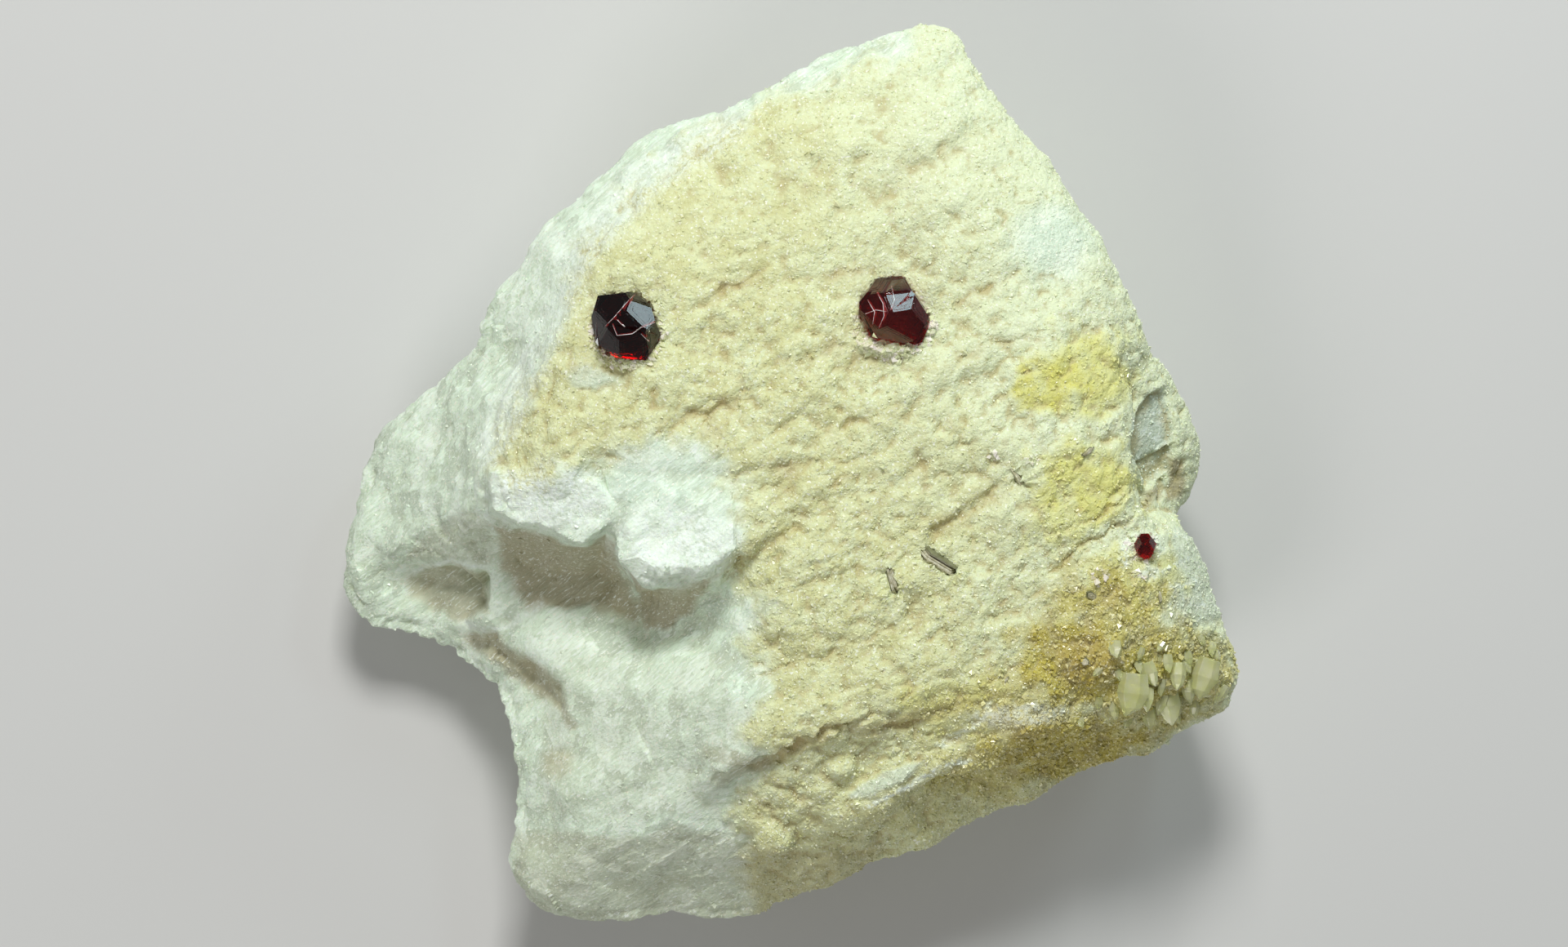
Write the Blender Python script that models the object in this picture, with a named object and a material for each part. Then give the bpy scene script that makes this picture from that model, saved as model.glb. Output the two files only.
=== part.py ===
"""Spessartine garnets on a block of granular white matrix, lying on its back, crystals up.

The frame is metres with +Z up. X runs to the right and Y to the top of the crystal-bearing face,
and the origin is in the flat that the block rests on. Lengths in the tables below are millimetres,
and MM turns them into metres. Angles are degrees.
"""

import math
import random

import bmesh
import bpy
from mathutils import Euler, Vector, noise
from mathutils.bvhtree import BVHTree
from mathutils.geometry import delaunay_2d_cdt
from mathutils.kdtree import KDTree

MM = 0.001

# Size of the whole block, and height of the middle of its granular face
BLOCK_WIDTH = 88.0
BLOCK_LENGTH = 89.0
FACE_TOP = 29.6

# Gap kept between a crystal and the socket that holds it
SOCKET_GAP = 0.3

# The rough surface is modelled at this edge length, then thinned to this many triangles
ROUGH_EDGE = 0.9
MATRIX_TRIANGLES = 7700

# Rim of the block seen from above, clockwise from the top corner: x, y and the rim's height
RIM = [
    (12.6, 43.4, 23.5), (14.9, 43.9, 23.6), (16.3, 42.7, 24.0), (17.7, 39.9, 24.4),
    (19.0, 38.0, 24.8), (20.1, 35.9, 25.0), (21.4, 34.7, 25.2), (22.4, 32.6, 25.4),
    (24.1, 31.0, 25.5), (25.6, 28.8, 25.6), (27.5, 26.7, 25.6), (28.7, 24.5, 25.6),
    (30.0, 22.9, 25.6), (31.0, 20.6, 25.4), (32.3, 18.8, 25.2), (32.9, 16.5, 24.8),
    (34.3, 14.2, 24.2), (35.2, 11.9, 22.8), (36.8, 9.8, 21.0), (38.7, 6.6, 19.0),
    (40.5, 3.0, 17.5), (40.4, -0.8, 16.5), (39.6, -2.6, 16.0), (36.7, -4.0, 18.0),
    (39.0, -6.8, 22.0), (40.2, -9.6, 21.2), (41.4, -12.2, 20.5), (43.0, -16.8, 19.0),
    (44.2, -20.4, 17.8), (44.1, -22.2, 17.2), (42.9, -23.8, 16.6), (40.0, -25.2, 16.6),
    (37.6, -26.2, 16.6), (35.7, -27.8, 16.4), (32.8, -28.0, 16.2), (30.4, -29.1, 16.0),
    (28.4, -29.6, 16.0), (26.0, -31.2, 16.0), (23.4, -32.8, 16.0), (20.6, -33.1, 15.9),
    (18.2, -34.2, 15.8), (15.9, -35.6, 15.4), (13.4, -37.3, 15.0), (9.2, -37.8, 15.0),
    (6.6, -38.9, 14.8), (4.6, -40.4, 14.4), (1.6, -41.2, 14.0), (-1.4, -42.2, 13.6),
    (-3.0, -43.8, 13.0), (-7.6, -44.4, 12.4), (-12.4, -43.8, 12.0), (-16.4, -44.8, 11.8),
    (-21.4, -44.6, 11.6), (-25.4, -42.6, 11.8), (-27.6, -39.4, 12.2), (-26.9, -36.2, 12.8),
    (-27.0, -33.6, 13.2), (-26.0, -31.0, 13.6), (-27.3, -28.2, 13.4), (-27.8, -24.8, 12.6),
    (-28.6, -22.4, 11.6), (-30.2, -20.4, 10.4), (-33.2, -19.2, 8.8), (-36.2, -16.2, 8.2),
    (-40.8, -15.6, 8.4), (-43.9, -13.6, 8.8), (-44.6, -9.9, 9.2), (-43.8, -5.0, 9.6),
    (-42.0, -1.0, 10.4), (-41.2, 2.6, 11.2), (-37.6, 5.9, 12.8), (-33.7, 9.3, 14.8),
    (-30.2, 12.0, 17.0), (-30.2, 14.7, 18.6), (-29.0, 18.2, 19.4), (-26.6, 19.0, 20.2),
    (-25.0, 22.0, 20.6), (-22.6, 25.0, 21.2), (-18.9, 27.9, 21.8), (-16.2, 30.3, 22.2),
    (-13.3, 32.6, 22.6), (-11.0, 33.6, 22.8), (-7.0, 34.6, 23.2), (-1.6, 37.3, 23.6),
    (2.7, 39.9, 23.8), (7.6, 41.9, 23.8),
]

# Lines along which the broken surface turns, each a run of x, y, height points
CREST_RIGHT = [
    (13.6, 40.2, 26.2), (16.0, 36.8, 26.8), (19.0, 32.0, 27.4), (22.2, 27.0, 27.8),
    (26.0, 20.8, 28.0), (29.0, 15.4, 27.8), (31.6, 11.0, 27.2),
]
LAYER_EDGE_TOP = [
    (31.6, 11.0, 27.2), (33.4, 7.6, 26.6), (33.3, 4.0, 26.8), (33.9, 0.6, 26.6),
    (34.9, -2.2, 26.0), (35.3, -3.4, 25.4),
]
LAYER_EDGE_FOOT = [
    (34.3, 9.0, 23.6), (34.6, 6.4, 22.6), (34.5, 3.4, 22.2), (35.0, 0.4, 21.2), (35.9, -2.4, 20.0),
]
DEEP_LAYER_STEP = [(36.3, 7.6, 21.8), (37.2, 3.6, 21.0), (37.6, 0.6, 19.2)]
CREST_LOWER_RIGHT = [
    (36.8, -6.2, 25.6), (38.6, -11.4, 24.6), (40.2, -17.0, 22.8), (40.4, -21.2, 21.2),
    (36.6, -23.8, 21.4),
]
CREST_LEFT = [
    (10.0, 38.9, 26.2), (4.0, 36.6, 26.8), (-1.6, 34.2, 27.2), (-7.4, 31.4, 27.4),
    (-11.6, 28.2, 27.6), (-15.2, 24.4, 27.8), (-18.4, 20.2, 28.0), (-20.2, 15.6, 28.2),
    (-22.0, 11.4, 27.8), (-24.8, 7.4, 26.8), (-27.6, 3.4, 25.2), (-30.0, -0.2, 23.6),
]
SIDE_FACE_RIDGE = [(-29.2, 9.4, 19.8), (-29.8, 5.4, 20.8), (-30.6, 1.6, 21.6), (-31.1, -2.3, 22.0)]
NOSE_RIDGE = [
    (-42.2, -9.0, 11.2), (-38.0, -6.0, 14.6), (-36.3, -5.0, 16.0), (-33.4, -3.2, 19.4),
    (-31.1, -2.3, 22.0),
]
NOSE_LIP = [
    (-39.8, -9.3, 12.2), (-37.0, -8.2, 13.4), (-34.8, -9.2, 14.6), (-33.2, -9.0, 15.6),
    (-30.9, -10.2, 16.4),
]
NOSE_HOLLOW = [(-38.8, -10.8, 9.6), (-35.2, -11.6, 8.2), (-31.5, -11.2, 7.8), (-31.4, -12.8, 8.4)]
WEDGE_TOP = [
    (-30.3, -10.4, 15.6), (-30.3, -12.4, 15.0), (-32.4, -13.8, 13.6), (-31.6, -15.5, 13.2),
    (-29.4, -16.0, 13.6), (-26.4, -14.8, 15.6),
]
WEDGE_FOOT = [(-32.8, -15.8, 9.2), (-30.0, -17.2, 9.4)]
CLIFF_TOP = [
    (-31.1, -2.3, 22.0), (-30.0, -4.0, 22.8), (-26.4, -5.8, 23.6), (-22.0, -7.2, 24.0),
    (-19.8, -7.5, 24.0), (-18.4, -6.4, 24.2), (-17.9, -4.2, 25.4),
]
CLIFF_SHELF = [(-29.4, -5.8, 20.4), (-26.6, -7.2, 20.4), (-22.6, -8.2, 20.8), (-20.0, -8.6, 21.2)]
CLIFF_FOOT = [
    (-28.4, -8.0, 17.0), (-26.3, -8.7, 16.6), (-22.0, -10.0, 16.6), (-19.4, -10.4, 17.0),
    (-17.8, -9.4, 18.0),
]
KNOB_TOP = [
    (-16.8, -3.0, 29.0), (-16.2, -5.6, 29.0), (-15.2, -8.8, 28.6), (-13.6, -10.2, 28.2),
    (-11.4, -10.6, 28.2), (-9.8, -11.2, 28.2), (-8.0, -9.0, 28.8), (-5.8, -8.6, 29.2),
]
KNOB_FOOT = [
    (-17.2, -9.6, 20.0), (-16.4, -12.2, 18.8), (-14.2, -15.8, 18.8), (-11.2, -15.4, 19.8),
    (-8.4, -13.2, 21.6), (-5.2, -10.0, 25.2),
]
KNOB_BACK = [(-17.6, -2.2, 26.4), (-15.8, -1.2, 28.0), (-11.2, -0.8, 28.5), (-5.6, -0.6, 28.8)]
HOLLOW_STEP_TOP = [(-28.8, -17.2, 14.6), (-26.2, -17.6, 16.4), (-22.6, -20.8, 18.8)]
HOLLOW_STEP_FOOT = [(-29.6, -18.9, 11.0), (-26.4, -20.0, 12.4), (-23.8, -22.1, 15.4)]
HOLLOW_BAND = [(-28.9, -21.6, 10.6), (-25.7, -23.2, 13.6), (-22.3, -25.6, 17.2)]
LOWER_LEDGE_TOP = [
    (-6.8, -30.6, 25.2), (-2.2, -28.8, 26.4), (3.4, -26.2, 27.2), (7.8, -24.2, 27.6),
    (12.0, -22.6, 27.8),
]
LOWER_LEDGE_FOOT = [
    (-6.0, -31.8, 22.6), (-1.6, -30.2, 23.6), (4.2, -27.6, 24.6), (8.6, -25.4, 25.6),
    (12.6, -23.6, 26.4),
]
LENS_RIDGE = [(4.8, -33.6, 22.8), (8.4, -32.6, 24.4), (14.0, -30.0, 25.2), (19.6, -28.4, 25.0)]
LENS_HOLLOW = [(6.4, -30.4, 22.6), (10.8, -28.6, 23.8), (16.0, -26.8, 24.6)]
BOTTOM_ROLL = [
    (-21.4, -39.8, 16.0), (-14.0, -39.6, 16.4), (-7.6, -38.4, 17.8), (-2.4, -38.2, 18.2),
    (4.0, -36.0, 19.0), (10.8, -34.4, 19.6), (17.4, -31.2, 20.6), (25.0, -28.6, 20.8),
    (31.0, -26.0, 20.8),
]
FOLDS = [
    CREST_RIGHT, LAYER_EDGE_TOP, LAYER_EDGE_FOOT, DEEP_LAYER_STEP, CREST_LOWER_RIGHT, CREST_LEFT,
    SIDE_FACE_RIDGE, NOSE_RIDGE, NOSE_LIP, NOSE_HOLLOW, WEDGE_TOP, WEDGE_FOOT, CLIFF_TOP,
    CLIFF_SHELF, CLIFF_FOOT, KNOB_TOP, KNOB_FOOT, KNOB_BACK, HOLLOW_STEP_TOP, HOLLOW_STEP_FOOT,
    HOLLOW_BAND, LOWER_LEDGE_TOP, LOWER_LEDGE_FOOT, LENS_RIDGE, LENS_HOLLOW, BOTTOM_ROLL,
]

# Single heights inside the hollow, the side face and the lower slope
SPOTS = [
    (-37.6, -0.6, 14.4), (-35.0, 3.4, 15.8), (-39.6, -5.4, 12.8), (-33.2, 1.2, 18.4),
    (-32.6, -6.4, 17.8), (-29.6, -9.0, 17.0), (-27.4, -11.0, 15.0), (-23.4, -12.6, 16.0),
    (-19.6, -13.4, 17.2), (-24.4, -15.6, 17.2), (-19.6, -17.6, 19.2), (-14.2, -18.8, 21.4),
    (-8.6, -17.6, 23.8), (-4.6, -13.8, 26.2), (-18.0, -22.6, 20.2), (-12.6, -24.8, 23.0),
    (-6.6, -23.6, 25.6), (-22.4, -30.0, 18.0), (-15.4, -30.4, 21.0), (-22.6, -34.6, 17.0),
    (-16.0, -35.6, 18.8), (-10.0, -33.6, 21.6), (-9.8, -28.4, 23.8), (-37.6, -12.8, 9.4),
    (-41.0, -11.6, 10.2), (-12.4, -6.0, 29.5), (-9.2, -5.0, 29.7), (-1.4, -33.6, 22.0),
    (38.6, 4.6, 19.6), (38.2, -17.4, 24.4), (36.4, -12.4, 25.8),
]

# The granular face is a low dome, filled with heights on a loose grid
DOME_CENTRE = (4.0, 8.0)
DOME_FALL = (0.0012, 0.0019)
GRID_STEP = 6.4
GRID_KEEP_CLEAR = 3.2
GRID_STRAY = 1.2
GRID_UNEVENNESS = 0.25
HOLLOW_BOUNDS = (-3.6, -1.0)

# Rings down the flanks: share of the rim's height, inset and how far the inset strays
FLANK_RINGS = [(0.76, 0.5, 0.4), (0.5, 1.4, 1.2), (0.24, 3.4, 1.8), (0.08, 6.4, 2.2)]

# How the rings stray along the rim: strength, waves around the rim, and how unlike two rings are
STRAY_STRENGTH = 1.6
STRAY_WAVES = 2.6
STRAY_LAYER_STEP = 3.7
LEVEL_STRAY = 1.2
LEVEL_LAYER = 9

# The back bulges this far below the flat that is then cut across it
BACK_BULGE = 0.8
BACK_INSET = 9.4

# Soft relief of the rough surface: wavelength and height of each octave
RELIEF = [(13.0, 0.6), (5.5, 0.42), (2.7, 0.24)]

# Flat chips of the broken flanks: size and height of each set, the share of it that lies inwards,
# how much each chip tilts, and the spread that keeps the values of neighbouring chips apart
CHIPS = [(9.0, 1.8), (3.8, 0.6)]
CHIP_INWARD = 0.8
CHIP_TILT = 1.2
CHIP_SPREAD = 9.0
CHIP_TILT_SHIFT = Vector((31, 17, 5))
MIDDLE_VALUE = Vector((0.5, 0.5, 0.5))

# A surface is flank from this upward share of its normal down, fully so after this much more
FLANK_UP = 0.75
FLANK_BLEND = 0.4
FACE_UP = 0.3

# All of this fades out towards the rim, which keeps its course, from this far away. The evening of
# the mesh rounds the rim off, so it is also moved back out by this much
RIM_CALM = 3.6
RIM_LEAST = 0.12
RIM_REGAIN = 0.6

# Grooves that cross the granular face, rising to the right: depth, half width and course
GROOVES = [
    (0.8, 1.3, [(-12.0, 3.8), (-7.6, 5.2), (-3.6, 7.2)]),
    (0.6, 1.1, [(-8.0, 16.2), (-4.8, 18.2), (-2.2, 20.0)]),
    (0.5, 1.1, [(2.8, 18.4), (8.6, 20.2), (12.6, 22.4)]),
    (0.6, 1.1, [(16.2, 16.0), (20.8, 18.5)]),
    (0.5, 1.3, [(8.8, 26.8), (13.0, 29.2), (17.0, 32.0)]),
    (0.9, 1.3, [(-5.6, -9.6), (-2.0, -7.2), (1.8, -4.4)]),
    (0.8, 1.2, [(12.4, -7.0), (16.5, -4.6), (21.8, -1.2)]),
    (0.6, 1.1, [(25.2, -10.2), (30.0, -6.4), (34.2, -3.8)]),
    (0.6, 1.2, [(2.0, -18.6), (8.4, -16.4), (14.6, -13.0)]),
    (0.5, 1.2, [(-4.0, -20.4), (-0.4, -19.2), (2.6, -18.9)]),
    (0.6, 1.3, [(-26.4, -28.6), (-20.0, -28.2), (-14.8, -26.2)]),
]

# Pits and lumps of the face: x, y, height (negative for a pit) and radius
BUMPS = [
    (-2.4, -1.8, -1.0, 2.2), (0.4, 0.2, -0.7, 1.4), (12.6, 0.2, -0.8, 1.5),
    (-22.9, -29.0, -1.2, 1.7),
    (-4.2, 11.6, -0.5, 1.8), (24.0, 8.6, -0.7, 1.8), (6.8, -12.8, -0.7, 1.6), (18.6, -18.4, -0.7, 1.9),
    (-1.6, -36.4, 1.1, 2.0), (5.2, -28.9, 0.9, 1.5), (-12.0, 9.6, 0.5, 3.2), (2.0, 10.4, 0.4, 3.4),
    (12.2, 7.6, 0.5, 3.2), (-6.4, 25.0, 0.5, 3.6), (5.4, 32.0, 0.5, 3.6), (20.4, 22.6, 0.4, 3.6),
    (5.6, -8.8, 0.5, 3.2), (17.2, -12.4, 0.5, 3.0), (26.2, -15.0, 0.5, 3.2), (29.0, 1.6, 0.5, 3.0),
    (-15.2, -21.2, 0.6, 3.0), (-20.4, -36.0, 0.6, 3.2),
]

# Garnets: where each sits, how far its middle stands above the surface, its facets as bearing,
# tilt from straight up and distance from the middle, and its parallel growths as offset and share
GARNETS = [
    {
        "name": "garnet_left",
        "place": (-15.8, 14.3),
        "rise": 1.0,
        "facets": [
            (121, 42, 2.95), (39.5, 33, 3.05), (-90, 6, 2.95), (-74, 44, 3.0), (-22, 62, 3.2),
            (193, 60, 3.05), (61, 63, 3.05), (228, 52, 3.05),
            (95, 88, 3.02), (56, 86, 2.98), (18, 88, 2.86), (-35, 86, 3.4), (-95, 90, 3.1),
            (-125, 86, 3.25), (188, 88, 3.1), (163, 86, 3.3),
        ],
        "growths": [((0.16, -0.5, -0.5), 0.93), ((-0.34, 0.1, -0.62), 0.96)],
    },
    {
        "name": "garnet_right",
        "place": (10.3, 15.5),
        "rise": 1.1,
        "facets": [
            (57, 23, 3.08), (-50, 31, 2.95), (9, 48, 3.1), (83, 50, 3.0), (180, 33, 3.02),
            (209, 60, 3.2), (116, 64, 3.15), (265, 56, 3.0),
            (32, 86, 2.58), (142, 86, 3.05), (96, 88, 3.15), (-24, 86, 3.3), (-72, 88, 3.3),
            (-102, 90, 2.9), (213, 86, 3.1), (180, 88, 3.3),
        ],
        "growths": [((-0.3, 0.3, -0.66), 0.98), ((0.62, -0.7, -0.9), 0.86)],
    },
    {
        "name": "garnet_small",
        "place": (34.8, -7.3),
        "rise": 0.45,
        "facets": [
            (-80, 22, 1.08), (95, 46, 1.1), (20, 58, 1.05), (160, 58, 1.05),
            (92, 88, 1.2), (38, 88, 1.02), (-22, 88, 0.98), (-62, 90, 1.16), (-122, 90, 1.14),
            (200, 88, 0.94), (146, 88, 1.0),
        ],
        "growths": [((0.05, -0.2, -0.3), 0.9)],
    },
]

# Facets of a garnet's underside, at its first facet's distance, and its base at a share of that.
# Corners closer together than the merge distance become one
UNDERSIDE_TILT = 128
UNDERSIDE_BEARINGS = range(20, 380, 60)
BASE_SHARE = 0.9
CORNER_MERGE = 0.02

# Thin mica blades set in the face: place, how far the top stands out, length, width and depth,
# and turn
MICA_BLADES = [
    {
        "name": "mica_blade_large",
        "place": (14.7, -8.7),
        "rise": 0.55,
        "size": (4.3, 1.2, 2.2),
        "turn": (22, 4, -33),
    },
    {
        "name": "mica_blade_low",
        "place": (10.2, -10.7),
        "rise": 0.4,
        "size": (3.0, 0.7, 2.0),
        "turn": (12, 0, -75),
    },
    {
        "name": "mica_blade_high",
        "place": (22.2, -0.5),
        "rise": 0.45,
        "size": (2.3, 0.7, 2.0),
        "turn": (-12, 0, -58),
    },
]
BLADE_OUTLINE = [(-0.5, 0.0), (-0.36, -0.5), (0.34, -0.5), (0.5, 0.05), (0.3, 0.5), (-0.32, 0.5)]

# Blunt calcite crystals grown on the lower right corner: place, width, length and bearing. Each is
# a little flattened, stands out by a share of its width and tips down by the same slope
CORNER_CRYSTALS = [
    ((33.5, -21.8), 2.8, 3.8, -96),
    ((41.3, -20.6), 2.6, 3.6, -104),
    ((37.5, -23.3), 2.1, 3.2, -84),
    ((35.4, -19.8), 1.5, 2.4, -72),
    ((38.0, -20.2), 1.7, 2.6, -105),
    ((35.6, -24.2), 1.3, 2.2, -85),
    ((31.8, -17.6), 1.5, 1.9, -100),
]
CRYSTAL_SECTIONS = [(-0.5, 0.5), (-0.2, 1.0), (0.16, 0.96), (0.4, 0.52)]
CRYSTAL_SIDES = 6
CRYSTAL_THICKNESS = 0.9
CRYSTAL_RISE = 0.12
CRYSTAL_SLOPE = 14

COLOURS = {
    "matrix": ((0.80, 0.78, 0.62, 1), 0.6),
    "garnet": ((0.13, 0.006, 0.008, 1), 0.08),
    "mica": ((0.27, 0.25, 0.15, 1), 0.35),
}


def clear_scene():
    for obj in list(bpy.data.objects):
        bpy.data.objects.remove(obj)


def material(name):
    colour, roughness = COLOURS[name]
    made = bpy.data.materials.new(name)
    made.use_nodes = True
    shader = made.node_tree.nodes["Principled BSDF"]
    shader.inputs["Base Color"].default_value = colour
    shader.inputs["Roughness"].default_value = roughness
    shader.inputs["Metallic"].default_value = 0.0
    return made


def object_from(bm, name, surface=None):
    """An object from a mesh drawn in millimetres, with its normals facing out."""
    bmesh.ops.recalc_face_normals(bm, faces=bm.faces[:])
    bmesh.ops.scale(bm, vec=(MM, MM, MM), verts=bm.verts[:])
    mesh = bpy.data.meshes.new(name)
    bm.to_mesh(mesh)
    bm.free()
    made = bpy.data.objects.new(name, mesh)
    bpy.context.scene.collection.objects.link(made)
    if surface:
        mesh.materials.append(surface)
    return made


def set_down(obj, place, turn):
    obj.location = Vector(place) * MM
    obj.rotation_euler = Euler([math.radians(angle) for angle in turn])
    return obj


def join_or_cut(target, helper, operation):
    """Joins a helper shape to the target or cuts it away. The helper isn't part of the specimen."""
    modifier = target.modifiers.new(helper.name, "BOOLEAN")
    modifier.operation = operation
    modifier.object = helper
    helper.hide_render = True
    helper.display_type = "WIRE"


def dome_height(x, y):
    """Height of the granular face, a low dome that falls away from its middle."""
    across = DOME_FALL[0] * (x - DOME_CENTRE[0]) ** 2
    along = DOME_FALL[1] * (y - DOME_CENTRE[1]) ** 2
    return FACE_TOP - across - along


def inside_rim(x, y):
    crossings = 0
    for (ax, ay, _), (bx, by, _) in zip(RIM, RIM[1:] + RIM[:1]):
        if (ay > y) != (by > y) and x < ax + (y - ay) * (bx - ax) / (by - ay):
            crossings += 1
    return crossings % 2 == 1


def distance_to_run(point, run):
    """Distance from a flat point to a run of flat points."""
    nearest = math.inf
    for start, end in zip(run, run[1:]):
        start = Vector(start[:2])
        along = Vector(end[:2]) - start
        share = max(0.0, min(1.0, (point - start).dot(along) / along.length_squared))
        nearest = min(nearest, (point - start - along * share).length)
    return nearest


def face_grid():
    """Heights on a loose grid over the granular face, clear of the folds, the rim and the hollow."""
    stray = random.Random(5)
    taken = FOLDS + [RIM + RIM[:1]]
    heights = []
    for column in range(int(BLOCK_WIDTH / GRID_STEP) + 1):
        for row in range(int(BLOCK_LENGTH / GRID_STEP) + 1):
            x = -BLOCK_WIDTH / 2 + GRID_STEP * (column + 0.5 * (row % 2))
            y = -BLOCK_LENGTH / 2 + GRID_STEP * row
            x += stray.uniform(-GRID_STRAY, GRID_STRAY)
            y += stray.uniform(-GRID_STRAY, GRID_STRAY)
            point = Vector((x, y))
            in_hollow = x < HOLLOW_BOUNDS[0] and y < HOLLOW_BOUNDS[1]
            if in_hollow or not inside_rim(x, y):
                continue
            near_fold = min(distance_to_run(point, run) for run in taken) < GRID_KEEP_CLEAR
            near_spot = min((point - Vector(spot[:2])).length for spot in SPOTS) < GRID_KEEP_CLEAR
            if not near_fold and not near_spot:
                uneven = stray.uniform(-GRID_UNEVENNESS, GRID_UNEVENNESS)
                heights.append((x, y, dome_height(x, y) + uneven))
    return heights


def upper_surface(bm):
    """The broken upper surface as a net of triangles. Returns the rim's vertices in order."""
    points = list(RIM)
    edges = []
    for run in FOLDS:
        indices = []
        for point in run:
            if point not in points:
                points.append(point)
            indices.append(points.index(point))
        edges += list(zip(indices, indices[1:]))
    points += SPOTS + face_grid()
    flat = [Vector(point[:2]) for point in points]
    rim_loop = list(range(len(RIM) - 1, -1, -1))
    inside_only = 1
    places, _, faces, sources, _, _ = delaunay_2d_cdt(flat, edges, [rim_loop], inside_only, 1e-4)
    verts = []
    for place, source in zip(places, sources):
        height = points[source[0]][2] if source else dome_height(*place)
        verts.append(bm.verts.new((place.x, place.y, height)))
    for face in faces:
        bm.faces.new([verts[i] for i in face])
    by_source = {source[0]: vert for source, vert in zip(sources, verts) if source}
    return [by_source[i] for i in range(len(RIM))]


def outward_at(index):
    """Horizontal direction out of the block at a rim point."""
    before = Vector(RIM[index - 2][:2])
    after = Vector(RIM[(index + 2) % len(RIM)][:2])
    along = (after - before).normalized()
    return Vector((-along.y, along.x))


def rim_stray(index, layer):
    """A repeatable value of about -1 to 1 that changes gently along the rim."""
    angle = 2 * math.pi * index / len(RIM)
    across, along = STRAY_WAVES * math.cos(angle), STRAY_WAVES * math.sin(angle)
    return STRAY_STRENGTH * noise.noise(Vector((across, along, STRAY_LAYER_STEP * layer)))


def flanks_and_back(bm, rim):
    """Broken flanks below the rim, closed by a back that bulges just below the resting flat."""
    above = rim
    rings = FLANK_RINGS + [(0.0, BACK_INSET, FLANK_RINGS[-1][2])]
    for layer, (share, inset, stray) in enumerate(rings):
        ring = []
        for index, (x, y, height) in enumerate(RIM):
            inward = outward_at(index) * -(inset + stray * rim_stray(index, layer))
            level = -BACK_BULGE
            if share:
                level = height * share + LEVEL_STRAY * rim_stray(index, layer + LEVEL_LAYER)
            ring.append(bm.verts.new((x + inward.x, y + inward.y, level)))
        for i in range(len(ring)):
            j = (i + 1) % len(ring)
            bm.faces.new([above[i], above[j], ring[j], ring[i]])
        above = ring
    bm.faces.new(above)


def evened(obj, edge):
    """The shape of an object as one closed mesh of even faces, in millimetres, with folds merged."""
    modifier = obj.modifiers.new("even", "REMESH")
    modifier.mode = "VOXEL"
    modifier.voxel_size = edge * MM
    bpy.context.view_layer.update()
    bm = bmesh.new()
    bm.from_object(obj, bpy.context.evaluated_depsgraph_get())
    bmesh.ops.scale(bm, vec=(1 / MM, 1 / MM, 1 / MM), verts=bm.verts[:])
    bpy.data.objects.remove(obj)
    return bm


def chip_shift(point, size, height):
    """Shift of a broken flank at a point: flat chips, each with its own level and tilt."""
    _, centres = noise.voronoi(point / size)
    chip = centres[0] * CHIP_SPREAD
    level = noise.cell_vector(chip).x - CHIP_INWARD
    tilt = noise.cell_vector(chip + CHIP_TILT_SHIFT) - MIDDLE_VALUE
    return height * (level + CHIP_TILT * tilt.dot(point / size - centres[0]))


def face_shift(point):
    """Shift of the upper surface at a point: grooves cut into it, pits and lumps."""
    flat = Vector(point[:2])
    shift = 0.0
    for depth, half_width, course in GROOVES:
        away = distance_to_run(flat, course) / half_width
        if away < 1.0:
            shift -= depth * (1.0 - away * away)
    for x, y, height, radius in BUMPS:
        away = (flat - Vector((x, y))).length / radius
        if away < 1.0:
            shift += height * (1.0 - away * away) ** 2
    return shift


def rim_finder():
    """Rim points in a tree that tells how far away the rim is."""
    steps = 6
    tree = KDTree(steps * len(RIM))
    for index, start in enumerate(RIM):
        end = Vector(RIM[(index + 1) % len(RIM)])
        for step in range(steps):
            tree.insert(Vector(start).lerp(end, step / steps), steps * index + step)
    tree.balance()
    return tree


def roughen(bm):
    """Moves the surface along its normals: relief all over, chips on the flanks, marks on the face."""
    rim = rim_finder()
    bm.normal_update()
    moves = []
    for vert in bm.verts:
        point = vert.co
        up = vert.normal.z
        amount = sum(height * noise.noise(point / wave) for wave, height in RELIEF)
        steep = max(0.0, min(1.0, (FLANK_UP - up) / FLANK_BLEND))
        if steep > 0.0:
            amount += steep * sum(chip_shift(point, size, height) for size, height in CHIPS)
        if up > FACE_UP:
            amount += face_shift(point)
        _, _, away = rim.find(point)
        amount *= max(RIM_LEAST, min(1.0, away / RIM_CALM))
        regained = RIM_REGAIN * max(0.0, 1.0 - away / RIM_CALM)
        moves.append(vert.normal * (amount + regained))
    for vert, move in zip(bm.verts, moves):
        vert.co += move


def height_at(tree, x, y):
    """Height of the rough surface at a place on the face."""
    hit, _, _, _ = tree.ray_cast(Vector((x, y, 2 * FACE_TOP)), Vector((0, 0, -1)))
    return hit.z


def build_matrix(surface):
    """The matrix, thinned and cut flat to rest on, and its rough surface for setting crystals down."""
    bm = bmesh.new()
    flanks_and_back(bm, upper_surface(bm))
    bm = evened(object_from(bm, "smooth_block"), ROUGH_EDGE)
    roughen(bm)
    bm = evened(object_from(bm, "rough_block"), ROUGH_EDGE)
    bmesh.ops.triangulate(bm, faces=bm.faces[:])
    tree = BVHTree.FromBMesh(bm)
    share = MATRIX_TRIANGLES / len(bm.faces)
    matrix = object_from(bm, "matrix", surface)
    thinned = matrix.modifiers.new("thinned", "DECIMATE")
    thinned.ratio = share
    cut = bmesh.new()
    bmesh.ops.create_cube(cut, size=2 * BLOCK_LENGTH)
    below = set_down(object_from(cut, "below_the_flat"), (0, 0, -BLOCK_LENGTH), (0, 0, 0))
    join_or_cut(matrix, below, "DIFFERENCE")
    return matrix, tree


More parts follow.
